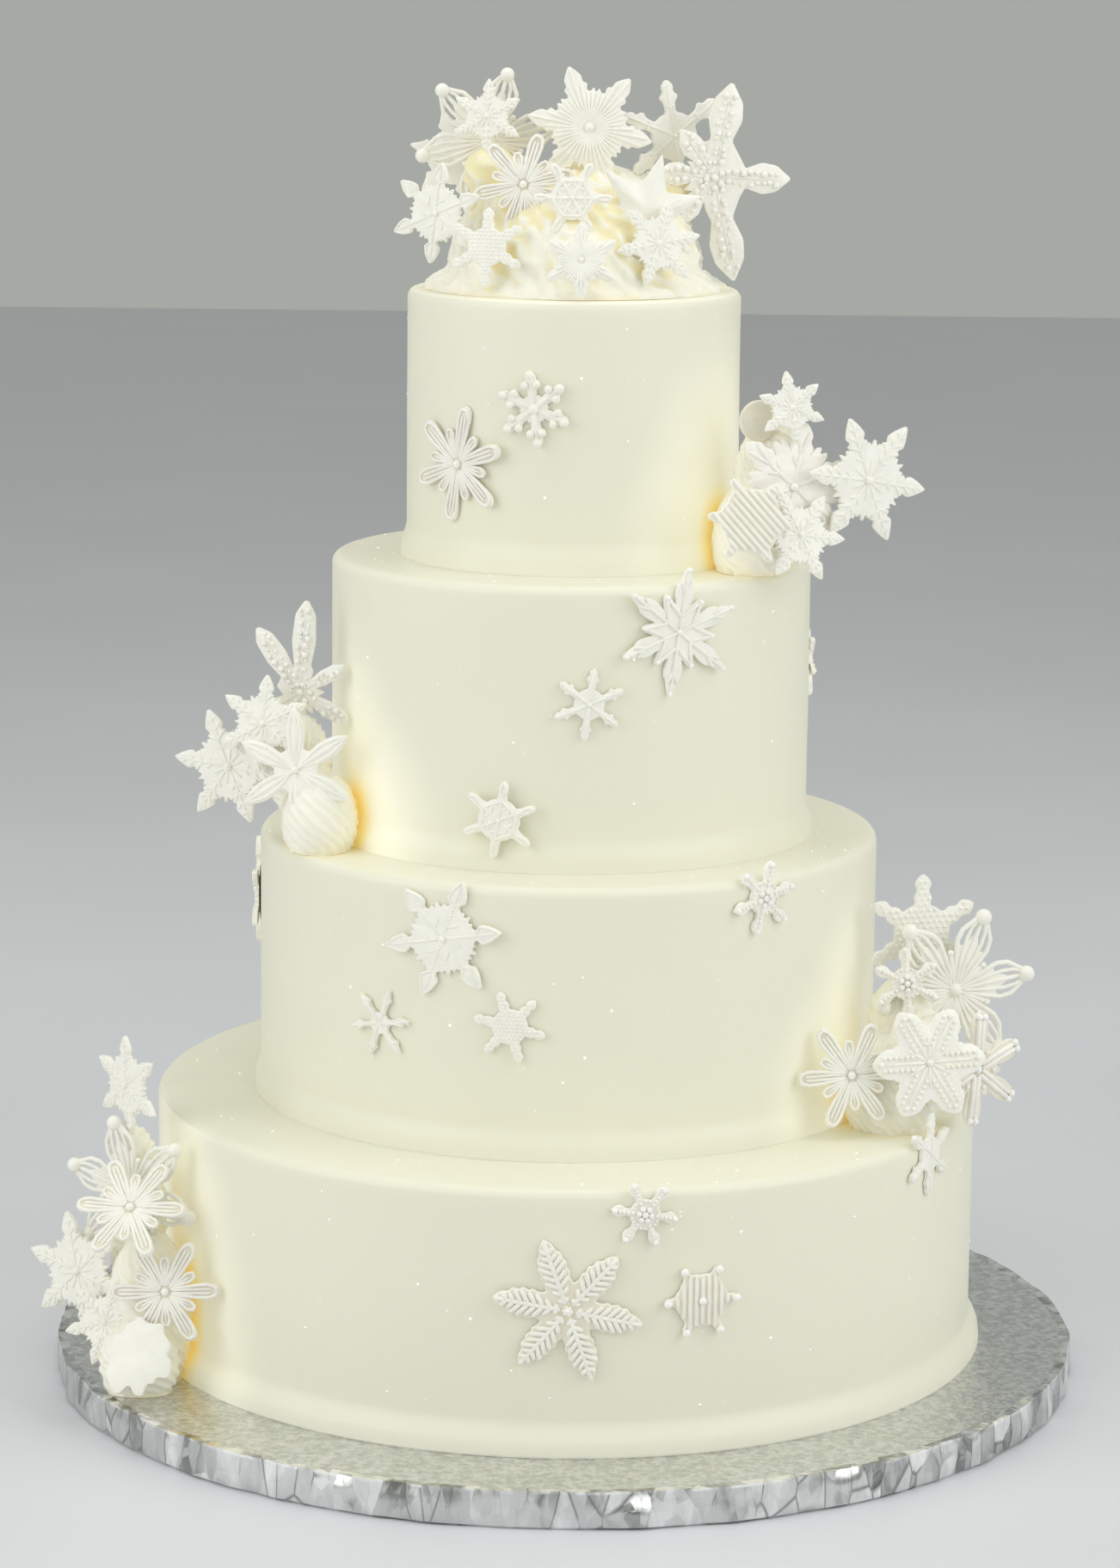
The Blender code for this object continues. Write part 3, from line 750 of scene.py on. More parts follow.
def build_board(settings):
    """The drum board: embossed foil on top, creased foil round the rim."""
    radius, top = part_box("board")[1][0], LEDGES[0]
    rng = random.Random(5)
    rows = (0.07, 0.16, 0.3, 0.5, 0.72, 0.9, 1.0)
    profile = [(radius * 0.3, 0.0), (radius * 0.9, 0.0), (radius - 0.0032, 0.0)]
    profile += [(radius - 0.0008, top * share) for share in rows]
    shares = (0.992, 0.984, 0.975, 0.965, 0.95, 0.93, 0.9, 0.86, 0.8, 0.6, 0.3)
    profile += [(radius * share, top) for share in shares]
    shape = lathe(profile, BOARD_STEPS)
    creases = [rng.uniform(-1, 1) for step in range(BOARD_STEPS)]
    leans = [rng.uniform(-1, 1) for step in range(BOARD_STEPS)]
    for vert in shape.verts:
        reach = math.hypot(vert.co.x, vert.co.y)
        turn = (math.atan2(vert.co.y, vert.co.x) / (2 * math.pi)) % 1.0
        if reach > radius * 0.985 and 0.0005 < vert.co.z:
            share = vert.co.z / top
            where = (turn * BOARD_STEPS + 3.0 * leans[int(turn * 24) % BOARD_STEPS] * share) / 2.3
            first = creases[int(where) % BOARD_STEPS]
            second = creases[(int(where) + 1) % BOARD_STEPS]
            fold = first + (second - first) * (where % 1.0)
            wide = noise.noise(Vector((vert.co.x * 40, vert.co.y * 40, vert.co.z * 90)))
            depth = settings.foil_crease * (0.55 * fold + 0.9 * wide - 0.55)
            bulge = 0.0006 * math.sin(math.pi * share)
            widen(vert, (reach + min(0.0006, depth) + bulge) / reach)
        elif vert.co.z > top - 0.0001:
            ripple = noise.noise(Vector((turn * 150, reach * 30, 0)))
            fade = max(0.0, (reach - radius * 0.9) / (radius * 0.1))
            vert.co.z += 0.0004 * fade * (ripple - 0.4)
    shape.normal_update()
    for face in shape.faces:
        middle = face.calc_center_median()
        outside = math.hypot(middle.x, middle.y) > radius * 0.978
        face.material_index = 1 if outside or middle.z < top * 0.9 else 0
    materials = [known("foil_embossed", foil_top), known("foil_creased", foil_rim)]
    return settle("foil_board", shape, materials, ["board"], 18)


class CAKE_OT_board(bpy.types.Operator):
    """Wraps the board in foil."""

    bl_idname = "cake.board"
    bl_label = "Wrap the board"

    def execute(self, context):
        build_board(active(context))
        return {"FINISHED"}


def smooth(shape, turns):
    """Smooths all points of a shape a few times."""
    axes = {"use_axis_x": True, "use_axis_y": True, "use_axis_z": True}
    for turn in range(turns):
        bmesh.ops.smooth_vert(shape, verts=shape.verts, factor=0.5, **axes)


def keep_largest(shape):
    """Takes away every island of faces but the largest."""
    left = set(shape.faces)
    islands = []
    while left:
        island = [left.pop()]
        for face in island:
            near = set(other for edge in face.edges for other in edge.link_faces) & left
            left -= near
            island += near
        islands.append(island)
    for island in sorted(islands, key=len)[:-1]:
        bmesh.ops.delete(shape, geom=island, context="FACES")


def heap_skin(name, voxel):
    """One closed skin round the eggs and dabs of a heap, cut level at its ledge."""
    ledge, eggs = HEAPS[name]
    shape = bmesh.new()
    for middle, sizes in eggs:
        matrix = Matrix.Translation(above(ledge, middle)) @ Matrix.Diagonal((*sizes, 1.0))
        bmesh.ops.create_icosphere(shape, subdivisions=4, radius=1.0, matrix=matrix)
    for flake in DABS[name]:
        behind = Matrix.Translation((0, 0, -DAB_RADIUS * 0.8)) @ Matrix.Diagonal((0.8, 0.8, 0.8, 1.0))
        matrix = read_flake(flake)[1] @ behind
        bmesh.ops.create_icosphere(shape, subdivisions=3, radius=DAB_RADIUS, matrix=matrix)
    mesh = cast("heap", shape)
    holder = placed("heap", mesh)
    remesh = holder.modifiers.new("join", "REMESH")
    remesh.mode = "VOXEL"
    remesh.voxel_size = voxel
    skin = bmesh.new()
    skin.from_object(holder, bpy.context.evaluated_depsgraph_get())
    bpy.data.objects.remove(holder, do_unlink=True)
    bpy.data.meshes.remove(mesh)
    keep_largest(skin)
    smooth(skin, 3)
    foot = LEDGES[ledge] + HEAP_GAP
    geometry = list(skin.verts) + list(skin.edges) + list(skin.faces)
    bmesh.ops.bisect_plane(skin, geom=geometry, plane_co=(0, 0, foot), plane_no=(0, 0, 1), clear_inner=True)
    close_holes(skin)
    return skin


def flake_covers(start):
    """Middle and reach of every flake whose name starts so."""
    boxes = [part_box(flake) for flake in FLAKES if flake.startswith(start)]
    return [(Vector(low).lerp(Vector(high), 0.5), (high[0] - low[0]) / 2) for low, high in boxes]


def build_heap(name, settings):
    """A heap of spooned icing, swirled, with painted yellow shade in its folds and under the flakes, and a
    painted yellow glow where it touches the cake and at its foot.
    """
    ledge, eggs = HEAPS[name]
    top = name == "mound_top"
    skin = heap_skin(name, 0.0014 if top else 0.001)
    foot = LEDGES[ledge] + HEAP_GAP
    wall = wall_radius(ledge) + 0.0002 if ledge < len(TIERS) else 0.0
    flat = wall_radius(3) - 0.0050
    middle = Vector(eggs[0][0])
    covers = flake_covers("top") if top else []
    depth, waves, rise, bend, spots, pale, painted_foot_glow = SWIRLS["top" if top else "side"]
    skin.normal_update()
    moves = []
    folds = []
    for vert in skin.verts:
        away = vert.co - middle
        warp = noise.noise(vert.co * 80.0)
        turn = waves * math.atan2(away.y, away.x) + rise * (vert.co.z - foot) + bend * warp
        height = 0.46 * (1.0 - 2.0 * abs(math.sin(turn))) + 0.40 * warp
        height += spots * noise.noise(vert.co * 210.0) + 0.2 * noise.noise(vert.co * 520.0)
        # painted shade: the icing close behind a flake of the top heap gets the yellow of the folds
        painted_flake_shade = max([0.0] + [1.0 - (vert.co - spot).length / (reach * 1.25) for spot, reach in covers])
        folds.append(max(0.0, min(1.0, pale + 0.5 * height - 1.3 * painted_flake_shade)))
        moves.append(vert.normal * settings.swirl_depth * depth * (height - 0.55))
    warmth = []
    for vert, move in zip(skin.verts, moves):
        if vert.co.z >= foot + 0.0002:
            vert.co += move
            vert.co.z = max(vert.co.z, foot)
            reach = math.hypot(vert.co.x, vert.co.y)
            if wall and reach < wall:
                widen(vert, wall / reach)
        reach = math.hypot(vert.co.x, vert.co.y)
        limit = flat + 0.6 * (vert.co.z - foot)
        if top and reach > limit and vert.co.z < foot + 0.004:
            widen(vert, limit / reach)
            reach = limit
        # painted yellow glow where the heap presses on the wall and along its foot
        near = max(0.0, 1.0 - (reach - wall) / 0.009) if wall else 0.0
        low = painted_foot_glow * max(0.0, 1.0 - (vert.co.z - foot) / 0.004)
        patch = 0.55 + 0.9 * noise.noise(vert.co * 55.0)
        warmth.append(max(0.0, min(1.0, max(near, low) * patch)))
    skin.verts.index_update()
    piece = settle("heap_" + name, skin, [known("heap_icing", heap_icing)], [name], 80)
    store(piece, "fold", folds)
    store(piece, "warmth", warmth)
    return piece


class CAKE_OT_heaps(bpy.types.Operator):
    """Spoons the heaps of icing onto the ledges."""

    bl_idname = "cake.heaps"
    bl_label = "Spoon the heaps"

    def execute(self, context):
        for name in HEAPS:
            build_heap(name, active(context))
        return {"FINISHED"}


def read_flake(name):
    """Outline of a CAD flake as flat points, with the matrix that stands it in its place."""
    shape = bmesh.new()
    shape.from_mesh(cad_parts[name].data)
    bmesh.ops.remove_doubles(shape, verts=shape.verts, dist=2e-6)
    shape.normal_update()
    normal = max(shape.faces, key=lambda face: face.calc_area()).normal.copy()
    middle = sum((vert.co for vert in shape.verts), Vector()) / len(shape.verts)
    outward = Vector((middle.x, middle.y, 0)) if name.startswith("wall") else Vector((0, -1, 0))
    if normal.dot(outward) < 0:
        normal.negate()
    front = [face for face in shape.faces if face.normal.dot(normal) > 0.99]
    level = max(face.calc_center_median().dot(normal) for face in front)
    front = set(face for face in front if face.calc_center_median().dot(normal) > level - 0.0004)
    ring = {}
    for face in front:
        for loop in face.loops:
            if sum(other in front for other in loop.edge.link_faces) == 1:
                ring[loop.vert.index] = loop.link_loop_next.vert.index
    shape.verts.ensure_lookup_table()
    order = [min(ring)]
    while ring[order[-1]] != order[0]:
        order.append(ring[order[-1]])
    levels = [vert.co.dot(normal) for vert in shape.verts]
    depth = max(levels) - min(levels)
    points = [shape.verts[index].co.copy() for index in order]
    shape.free()
    azimuth = math.degrees(math.atan2(normal.x, -normal.y))
    lift = math.degrees(math.asin(max(-1.0, min(1.0, normal.z))))
    matrix = placing(azimuth, lift, sum(points, Vector()) / len(points) - normal * depth / 2)
    inverse = matrix.inverted()
    flat = [(inverse @ point).xy for point in points]
    shift = (inverse @ ODD_MIDDLES[name]).xy if name in ODD_MIDDLES else ring_middle(flat)
    flat = [point - shift for point in flat]
    if signed_area(flat) > 0:
        flat.reverse()
    return flat, matrix @ Matrix.Translation((*shift, 0)), depth


def edge_areas(points):
    """Both ends of every edge of an outline, with twice the area between the edge and the middle."""
    pairs = zip(points, points[1:] + points[:1])
    return [(first, second, first.x * second.y - second.x * first.y) for first, second in pairs]


def signed_area(points):
    """Area of an outline, positive if it goes anticlockwise."""
    return sum(area for first, second, area in edge_areas(points)) / 2


def ring_middle(points):
    """Centroid of the area inside an outline."""
    middle = sum(((first + second) * area for first, second, area in edge_areas(points)), CENTRE)
    return middle / (6 * signed_area(points))


def rounded(points, cut, turns):
    """An outline with its corners cut off again and again."""
    for turn in range(turns):
        softer = []
        for first, second in zip(points, points[1:] + points[:1]):
            softer.append(first.lerp(second, cut))
            softer.append(first.lerp(second, 1 - cut))
        points = softer
    return points


def spaced(points, least):
    """An outline without points that lie closer together than the least distance."""
    kept = [points[0]]
    for point in points[1:]:
        if min((point - kept[-1]).length, (point - kept[0]).length) >= least:
            kept.append(point)
    return kept


# material slots of a flake's pearls and of the painted shade in its grooves
PEARL = 1
GROOVE_SHADE = 2

# least distance of a line from the edge of its plate, of an outline's points from each other,
# and of the spots at which a line is tried
NEAR_EDGE = 0.0003
LEAST_STEP = 0.00035
TRIM_STEP = 0.0006


class Flake:
    """One flake being piped, lying flat with its face up."""

    def __init__(self, outline, directions, depth, settings):
        self.outline = outline
        self.depth = depth
        self.top = depth / 2
        self.settings = settings
        self.radius = max(point.length for point in outline)
        self.tips = [self.find_tip(direction) for direction in directions]
        self.arms = range(len(self.tips))
        self.seat = -0.12
        self.shape = bmesh.new()
        self.strands = []
        self.beads = []

    def find_tip(self, direction):
        """Middle of the outline's farthest points near a direction."""
        ahead = heading(direction)
        near = [point for point in self.outline if point.normalized().dot(ahead) > 0.955]
        if not near:
            return ahead * self.radius
        far = max(point.length for point in near)
        ends = [point for point in near if point.length > far * 0.96]
        return sum(ends, CENTRE) / len(ends)

    def on_arm(self, index, share, side=0.0):
        """A point on an arm, moved sideways by a share of the radius."""
        tip = self.tips[index % len(self.tips)]
        return tip * share + Vector((tip.y, -tip.x)).normalized() * side * self.radius

    def between(self, index, share, turn=0.0):
        """A point between an arm and the next one, turned by some degrees."""
        first, second = (self.tips[arm % len(self.tips)].normalized() for arm in (index, index + 1))
        return Matrix.Rotation(math.radians(-turn), 2) @ (first + second).normalized() * share * self.radius

    def holds(self, spot, margin=0.0):
        """Whether a spot lies on the plate, away from its edge by the margin."""
        inside = False
        for first, second in zip(self.outline, self.outline[1:] + self.outline[:1]):
            if (first.y > spot.y) != (second.y > spot.y):
                cross = first.x + (spot.y - first.y) * (second.x - first.x) / (second.y - first.y)
                if cross > spot.x:
                    inside = not inside
            if margin:
                along = second - first
                share = max(0.0, min(1.0, (spot - first).dot(along) / max(1e-12, along.dot(along))))
                if (first + along * share - spot).length < margin:
                    return False
        return inside

    def line(self, points, width=None, lift=0.0, closed=False):
        """Pipes a line over the plate through flat points."""
        width = width or self.settings.line_width
        path = [Vector((*point, self.top + width * self.seat + lift)) for point in points]
        self.strands.append((path, width, closed))

    def ridge(self, index, places, width=None, closed=False):
        """Pipes a line along an arm through places, each a share of it or (share, sideways)."""
        places = [place if isinstance(place, tuple) else (place, 0.0) for place in places]
        self.line([self.on_arm(index, *place) for place in places], width, closed=closed)

    def pair(self, index, places, width=None, lift=0.0):
        """Pipes a line beside an arm through places as (share, sideways), and its mirror image."""
        for sign in (-1, 1):
            self.line([self.on_arm(index, share, side * sign) for share, side in places], width, lift)

    def branches(self, index, share, degrees, length, width=None):
        """Pipes a branch to both sides of an arm at an angle, as far as the plate goes."""
        start = self.on_arm(index, share)
        for sign in (-1, 1):
            side = Matrix.Rotation(math.radians(degrees * sign), 2) @ self.tips[index].normalized()
            self.trimmed(start, start + side * length * self.radius, width, NEAR_EDGE)

    def trimmed(self, first, last, width=None, margin=None):
        """Pipes the stretches of a straight line that lie on the plate."""
        width = width or self.settings.line_width
        margin = width * 0.55 if margin is None else margin
        count = max(4, int((last - first).length / TRIM_STEP))
        runs = [[]]
        for step in range(count + 1):
            spot = first.lerp(last, step / count)
            if self.holds(spot, margin):
                runs[-1].append(spot)
            else:
                runs.append([])
        for run in runs:
            if len(run) > 2:
                self.line([run[0], run[0].lerp(run[-1], 0.5), run[-1]], width)

    def bead(self, spot, size=None, pearl=True, height=None):
        """Presses a pearl or a dot onto the plate."""
        size = size or self.settings.pearl_size
        height = self.top + size * 0.2 if height is None else height
        self.beads.append((Vector((*spot, height)), size, pearl))

    def dot(self, spot, size, margin, height=None):
        """Presses a dot onto a spot if it lies well on the plate."""
        if self.holds(spot, margin):
            self.bead(spot, size, False, height)

    def slab(self, ring, thin):
        """Stands a closed slab on an outline and returns its upper points and its lid."""
        low = -self.depth / 2
        base = self.shape.faces.new([self.shape.verts.new((point.x, point.y, low)) for point in ring])
        base.normal_update()
        grown = bmesh.ops.extrude_face_region(self.shape, geom=[base])["geom"]
        upper = [item for item in grown if isinstance(item, bmesh.types.BMVert)]
        lid = next(item for item in grown if isinstance(item, bmesh.types.BMFace))
        bmesh.ops.translate(self.shape, verts=upper, vec=(0, 0, self.depth * thin))
        bmesh.ops.recalc_face_normals(self.shape, faces=self.shape.faces)
        return upper, lid

    def plate(self, thin=1.0, cut=0.2, turns=1, painted_groove_shade=False):
        """The flat plate under the piping, with rounded edges, its top painted with groove shade where lines
        lie close on it.
        """
        self.top = self.depth * (thin - 0.5)
        ring = spaced(rounded(list(reversed(self.outline)), cut, turns), LEAST_STEP)
        lid = self.slab(ring, thin)[1]
        edge = self.settings.edge_round
        ways = {"segments": 2, "profile": 0.5, "affect": "EDGES", "clamp_overlap": True, "material": -1}
        bmesh.ops.bevel(self.shape, geom=list(lid.edges), offset=edge, **ways)
        flats = [face for face in self.shape.faces if len(face.verts) > 4]
        for face in flats:
            if painted_groove_shade and face.normal.z > 0.9:
                face.material_index = GROOVE_SHADE
        bmesh.ops.triangulate(self.shape, faces=flats, ngon_method="EAR_CLIP")

    def finish(self):
        """Adds the strands and beads to the plate and returns the shape."""
        bmesh.ops.recalc_face_normals(self.shape, faces=self.shape.faces)
        pipe(self.shape, self.strands)
        for spot, size, pearl in self.beads:
            detail = 3 if size > 0.006 else 2
            matrix = Matrix.Translation(spot)
            made = bmesh.ops.create_icosphere(self.shape, subdivisions=detail, radius=size / 2, matrix=matrix)
            if pearl:
                for face in set(face for vert in made["verts"] for face in vert.link_faces):
                    face.material_index = PEARL
        return self.shape


def pipe(shape, strands):
    """Adds round closed strands along the paths, drawn in at their ends."""
    angles = [2 * math.pi * step / STRAND_SIDES for step in range(STRAND_SIDES)]
    for path, width, closed in strands:
        spots, radii = drawn_in(path, width, closed)
        rings = []
        for place, (spot, radius) in enumerate(zip(spots, radii)):
            before = spots[place - 1] if place or closed else spot
            after = spots[(place + 1) % len(spots)] if place + 1 < len(spots) or closed else spot
            side = (after - before).cross(Vector((0, 0, 1))).normalized()
            up = side.cross((after - before).normalized())
            aways = [side * math.cos(angle) + up * math.sin(angle) for angle in angles]
            rings.append([shape.verts.new(spot + away * width / 2 * radius) for away in aways])
        pairs = list(zip(rings, rings[1:]))
        if closed:
            pairs.append((rings[-1], rings[0]))
        else:
            shape.faces.new(rings[0])
            shape.faces.new(reversed(rings[-1]))
        for first, second in pairs:
            for step in range(STRAND_SIDES):
                after = (step + 1) % STRAND_SIDES
                shape.faces.new((first[step], second[step], second[after], first[after]))


def drawn_in(path, width, closed):
    """The points of a strand and their thickness, thinner at both ends."""
    spots = list(path)
    if closed:
        return spots, [1.0] * len(spots)
    for end, after, place in ((0, 1, 1), (-1, -2, -1)):
        length = (spots[after] - spots[end]).length
        step = min(0.4, 0.45 * width / max(length, 1e-9))
        spots.insert(place, spots[end].lerp(spots[after], step))
    return spots, [0.5, 0.95] + [1.0] * (len(spots) - 4) + [0.95, 0.5]


def pipe_dendrite(flake):
    """Ridge along every arm with pairs of side branches."""
    flake.plate(0.85)
    for index in flake.arms:
        flake.ridge(index, (0.06, 0.5, 0.95))
        for share, length in ((0.30, 0.13), (0.46, 0.17), (0.62, 0.16), (0.78, 0.10)):
            flake.branches(index, share, 48, length)
        flake.trimmed(CENTRE, flake.between(index, 0.30), margin=NEAR_EDGE)
    flake.bead(CENTRE, flake.radius * 0.10 + 0.001, False)


def pipe_barbs(flake):
    """Plain ridge along every arm with one pair of barbs."""
    flake.plate(0.85)
    for index in flake.arms:
        flake.ridge(index, (0.05, 0.5, 0.94))
        flake.branches(index, 0.5, 50, 0.26)
    flake.bead(CENTRE, 0.0022, False)


def pipe_loops(flake):
    """A loop of thick strand round every arm, a straight one inside it and short loops between."""
    flake.plate(0.5, painted_groove_shade=True)
    flake.seat = 0.12
    width = max(0.0015, flake.radius * 0.066)
    bulge = ((0.10, 0.35), (0.3, 0.62), (0.55, 0.85), (0.8, 1.0), (0.92, 0.8), (0.985, 0.42))
    loop = [(share * 0.96, -0.118 * wide) for share, wide in bulge]
    loop += [(share, -side) for share, side in reversed(loop)]
    turns = ((0.35, -7), (0.52, -8), (0.60, -4), (0.60, 4), (0.52, 8), (0.35, 7))
    for index in flake.arms:
        flake.ridge(index, loop, width)
        flake.pair(index, ((0.12, 0.0216), (0.45, 0.036), (0.84, 0.036)), width * 0.85)
        start = flake.between(index, 0.14)
        path = [flake.between(index, share, turn) for share, turn in turns]
        flake.line([start] + path + [start], width * 0.9)
        flake.line([start, flake.between(index, 0.35), flake.between(index, 0.50)], width * 0.8)
    flake.bead(CENTRE, flake.radius * 0.15)


def pipe_lace(flake):
    """Open lace: petals of thick strands with a ball on every tip and a thin skin in the middle."""
    width = flake.settings.lace_width * flake.radius / 0.0415
    flake.outline = [point * 0.74 if point.length > flake.radius * 0.6 else point for point in flake.outline]
    flake.plate(0.45, 0.25, 2)
    flake.seat = 0.02
    flake.top = 0.0
    outer = ((0.10, 0.05), (0.40, 0.15), (0.56, 0.20), (0.70, 0.185), (0.84, 0.09), (0.93, 0.03))
    inner = ((0.10, 0.02), (0.40, 0.075), (0.62, 0.10), (0.76, 0.09), (0.88, 0.04))
    lower = -width * 0.12
    for index in flake.arms:
        flake.line([CENTRE, flake.on_arm(index, 0.45), flake.on_arm(index, 0.92)], width, lower)
        flake.pair(index, outer, width, lower)
        flake.pair(index, inner, width * 0.8)
        flake.line([CENTRE, flake.between(index, 0.22), flake.between(index, 0.43)], width, lower)
        flake.bead(flake.on_arm(index, 0.92), flake.radius * 0.19, False, 0.0)
        flake.bead(flake.between(index, 0.44), width * 1.3, False, 0.0)
    flake.bead(CENTRE, flake.radius * 0.16, False, 0.0)


def pipe_tubes(flake):
    """Thick glossy strands along every arm with a ball at each end."""
    flake.plate(0.7, painted_groove_shade=True)
    flake.seat = 0.1
    for index in flake.arms:
        flake.pair(index, ((0.10, 0.045), (0.45, 0.045), (0.86, 0.045)), flake.radius * 0.10)
        for side in (0.06, -0.06):
            flake.bead(flake.on_arm(index, 0.88, side), 0.0036)
        flake.bead(flake.between(index, 0.34), 0.0024)
    flake.bead(CENTRE, 0.004)


def pipe_rays(flake):
    """Fine lines from the middle to the whole edge."""
    flake.plate(0.8)
    flake.seat = 0.0
    lines = 42
    for step in range(lines):
        reach = heading(bearing(flake.tips[0]) + 360 * step / lines) * flake.radius
        flake.trimmed(reach * 0.10, reach * 0.99, flake.settings.line_width * 0.85)
    flake.bead(CENTRE, flake.radius * 0.13, False)


def pipe_lattice(flake):
    """Lines along every arm and spike, joined by nested angles, with a pearl on each tip."""
    flake.plate(0.8)
    flake.seat = 0.14
    for index in flake.arms:
        flake.ridge(index, (0.03, 0.5, 0.96))
        for arm in (index, index + 1):
            flake.line([flake.on_arm(arm, 0.24), flake.between(index, 0.56)])
        flake.pair(index, ((0.62, 0.0), (0.80, 0.085)))
        flake.bead(flake.on_arm(index, 0.97), 0.0027)
        flake.bead(flake.between(index, 0.57), 0.0027)
    flake.bead(CENTRE, 0.003)


def pipe_hexagon(flake):
    """A six-sided ring crossed by lines, with a loop on every tip."""
    flake.plate(0.8)
    narrow = flake.settings.line_width * 0.9
    loop = ((0.6, 0.0), (0.74, -0.055), (0.88, -0.05), (0.94, 0.0), (0.88, 0.05), (0.74, 0.055))
    flake.line([flake.on_arm(index, 0.5) for index in flake.arms], closed=True)
    for index in flake.arms:
        flake.ridge(index, (0.0, 0.3, 0.62))
        flake.ridge(index, loop, narrow, closed=True)
        for arm in (index, index + 1):
            flake.line([flake.on_arm(arm, 0.28), flake.between(index, 0.40)], narrow)
    flake.bead(CENTRE, 0.0024, False)


def pipe_arrows(flake):
    """Outlined arrowheads on lines, two of the arms dotted, with a pearl in the middle."""
    flake.plate(0.8)
    width = flake.settings.line_width * 0.85
    for index in flake.arms:
        if index % 3 == 0:
            for step in range(9):
                flake.bead(flake.on_arm(index, 0.12 + 0.055 * step), 0.0014, False, flake.top)
        else:
            flake.ridge(index, (0.08, 0.3, 0.62), width)
        flake.pair(index, ((0.97, 0.0), (0.80, 0.10), (0.66, 0.13), (0.58, 0.03)), width)
        flake.ridge(index, (0.62, 0.75, 0.9), width * 0.8)
        flake.trimmed(flake.on_arm(index, 0.2), flake.between(index, 0.34), width)
    flake.bead(CENTRE)


def pipe_curls(flake):
    """Six slightly curved lines with a pair of twigs each."""
    flake.plate(0.8)
    for index in flake.arms:
        flake.ridge(index, (0.0, (0.35, 0.03), 0.7, (0.94, -0.03)))
        for side in (-0.06, 0.06):
            flake.ridge(index, ((0.5, 0.01), (0.66, side), (0.76, side * 2)))


def pipe_dots(flake):
    """Small dots all over."""
    flake.plate(0.85)
    pitch = max(0.0021, flake.radius * 0.11)
    rows = int(flake.radius / pitch) + 1
    for row in range(-rows, rows + 1):
        for column in range(-rows, rows + 1):
            spot = Vector(((column + 0.5 * (row % 2)) * pitch, row * pitch * 0.87))
            flake.dot(spot, pitch * 0.55, pitch * 0.30, flake.top + pitch * 0.04)


def pipe_pearls(flake):
    """Dotted arms with a cluster of pearls in the middle and one on every tip."""
    flake.plate(0.85)
    for index in flake.arms:
        for share in (0.90, 0.18):
            flake.bead(flake.on_arm(index, share), 0.0029)
        for share in (0.36, 0.50, 0.63, 0.75):
            flake.bead(flake.on_arm(index, share), 0.0018, False)
        for turn in (-8, 8):
            flake.dot(flake.between(index, 0.40, turn), 0.0016, 0.0004)
    flake.bead(CENTRE, 0.0033)


def pipe_chevron(flake):
    """Nested angles along every arm with a small rosette in the middle."""
    flake.plate(0.8, painted_groove_shade=True)
    flake.seat = 0.1
    width = flake.settings.line_width * 1.3
    pitch = 0.0034
    for index in flake.arms:
        length = flake.tips[index].length
        flake.ridge(index, (0.1, 0.5, 0.97), width)
        for step in range(int(length * 0.86 / pitch)):
            away = length * 0.13 + pitch * step
            reach = 0.6 * away if step * pitch < length * 0.25 else flake.radius * 0.30
            flake.branches(index, away / length, 52, reach / flake.radius, width)
        flake.bead(flake.on_arm(index, 0.045), 0.0022, False)
    flake.bead(CENTRE, 0.0030)


def pipe_stripes(flake):
    """Even stripes across the whole plate, with pearls on a small one's tips and in its middle."""
    flake.plate(0.8, painted_groove_shade=True)
    flake.seat = 0.1
    small = flake.radius < 0.02
    pitch = flake.radius * (0.17 if small else 0.135)
    across = heading(90 if small else 50)
    reach = Vector((across.y, -across.x)) * flake.radius
    for step in range(-8, 9):
        middle = across * pitch * step
        flake.trimmed(middle - reach, middle + reach, pitch * 0.62, 0.0004)
    if small:
        for spot in [CENTRE] + [flake.on_arm(index, 0.95) for index in flake.arms]:
            flake.bead(spot, 0.0040)


def pipe_star(flake):
    """A softly folded star: a ridge to every tip and a groove to every inner corner."""
    shape = flake.shape
    upper, lid = flake.slab(list(reversed(flake.outline)), 0.45)
    middle = bmesh.ops.poke(shape, faces=[lid])["verts"][0]
    middle.co = (0.0, 0.0, flake.depth * 0.8)
    for vert in upper:
        reach = math.hypot(vert.co.x, vert.co.y) / flake.radius
        vert.co.z += flake.depth * (0.25 if reach > 0.75 else -0.25)
    bmesh.ops.triangulate(shape, faces=[face for face in shape.faces if len(face.verts) > 4])
    bmesh.ops.subdivide_edges(shape, edges=list(shape.edges), cuts=7, use_grid_fill=True)
    smooth(shape, 2)
    flake.top = flake.depth * 0.3
    for index in flake.arms:
        flake.pair(index, ((0.22, 0.035), (0.6, 0.0455)), 0.0009)


def pipe_sprig(flake):
    """Thick knobbly twigs with three lobes at the end of every arm."""
    flake.plate(0.7)
    width = flake.settings.line_width * 1.7
    for index in flake.arms:
        flake.ridge(index, (0.05, 0.5, 0.93), width)
        flake.pair(index, ((0.5, 0.0), (0.66, 0.17)), width * 0.9)
        for side in (-0.17, 0.17):
            flake.bead(flake.on_arm(index, 0.66, side), width * 1.3, False)
        flake.bead(flake.on_arm(index, 0.93), width * 1.4, False)
    flake.bead(CENTRE, width * 1.6, False)


def pipe_leaves(flake):
    """Narrow leaves with a ridge and two veins each."""
    flake.plate(0.7)
    width = flake.settings.line_width
    for index in flake.arms:
        flake.ridge(index, (0.04, 0.5, 0.95), width * 1.3)
        flake.pair(index, ((0.12, 0.02), (0.38, 0.085), (0.60, 0.10), (0.80, 0.06), (0.94, 0.015)))
        flake.pair(index, ((0.2, 0.02), (0.75, 0.045)), width * 0.7)
    flake.bead(CENTRE, 0.0036, False)


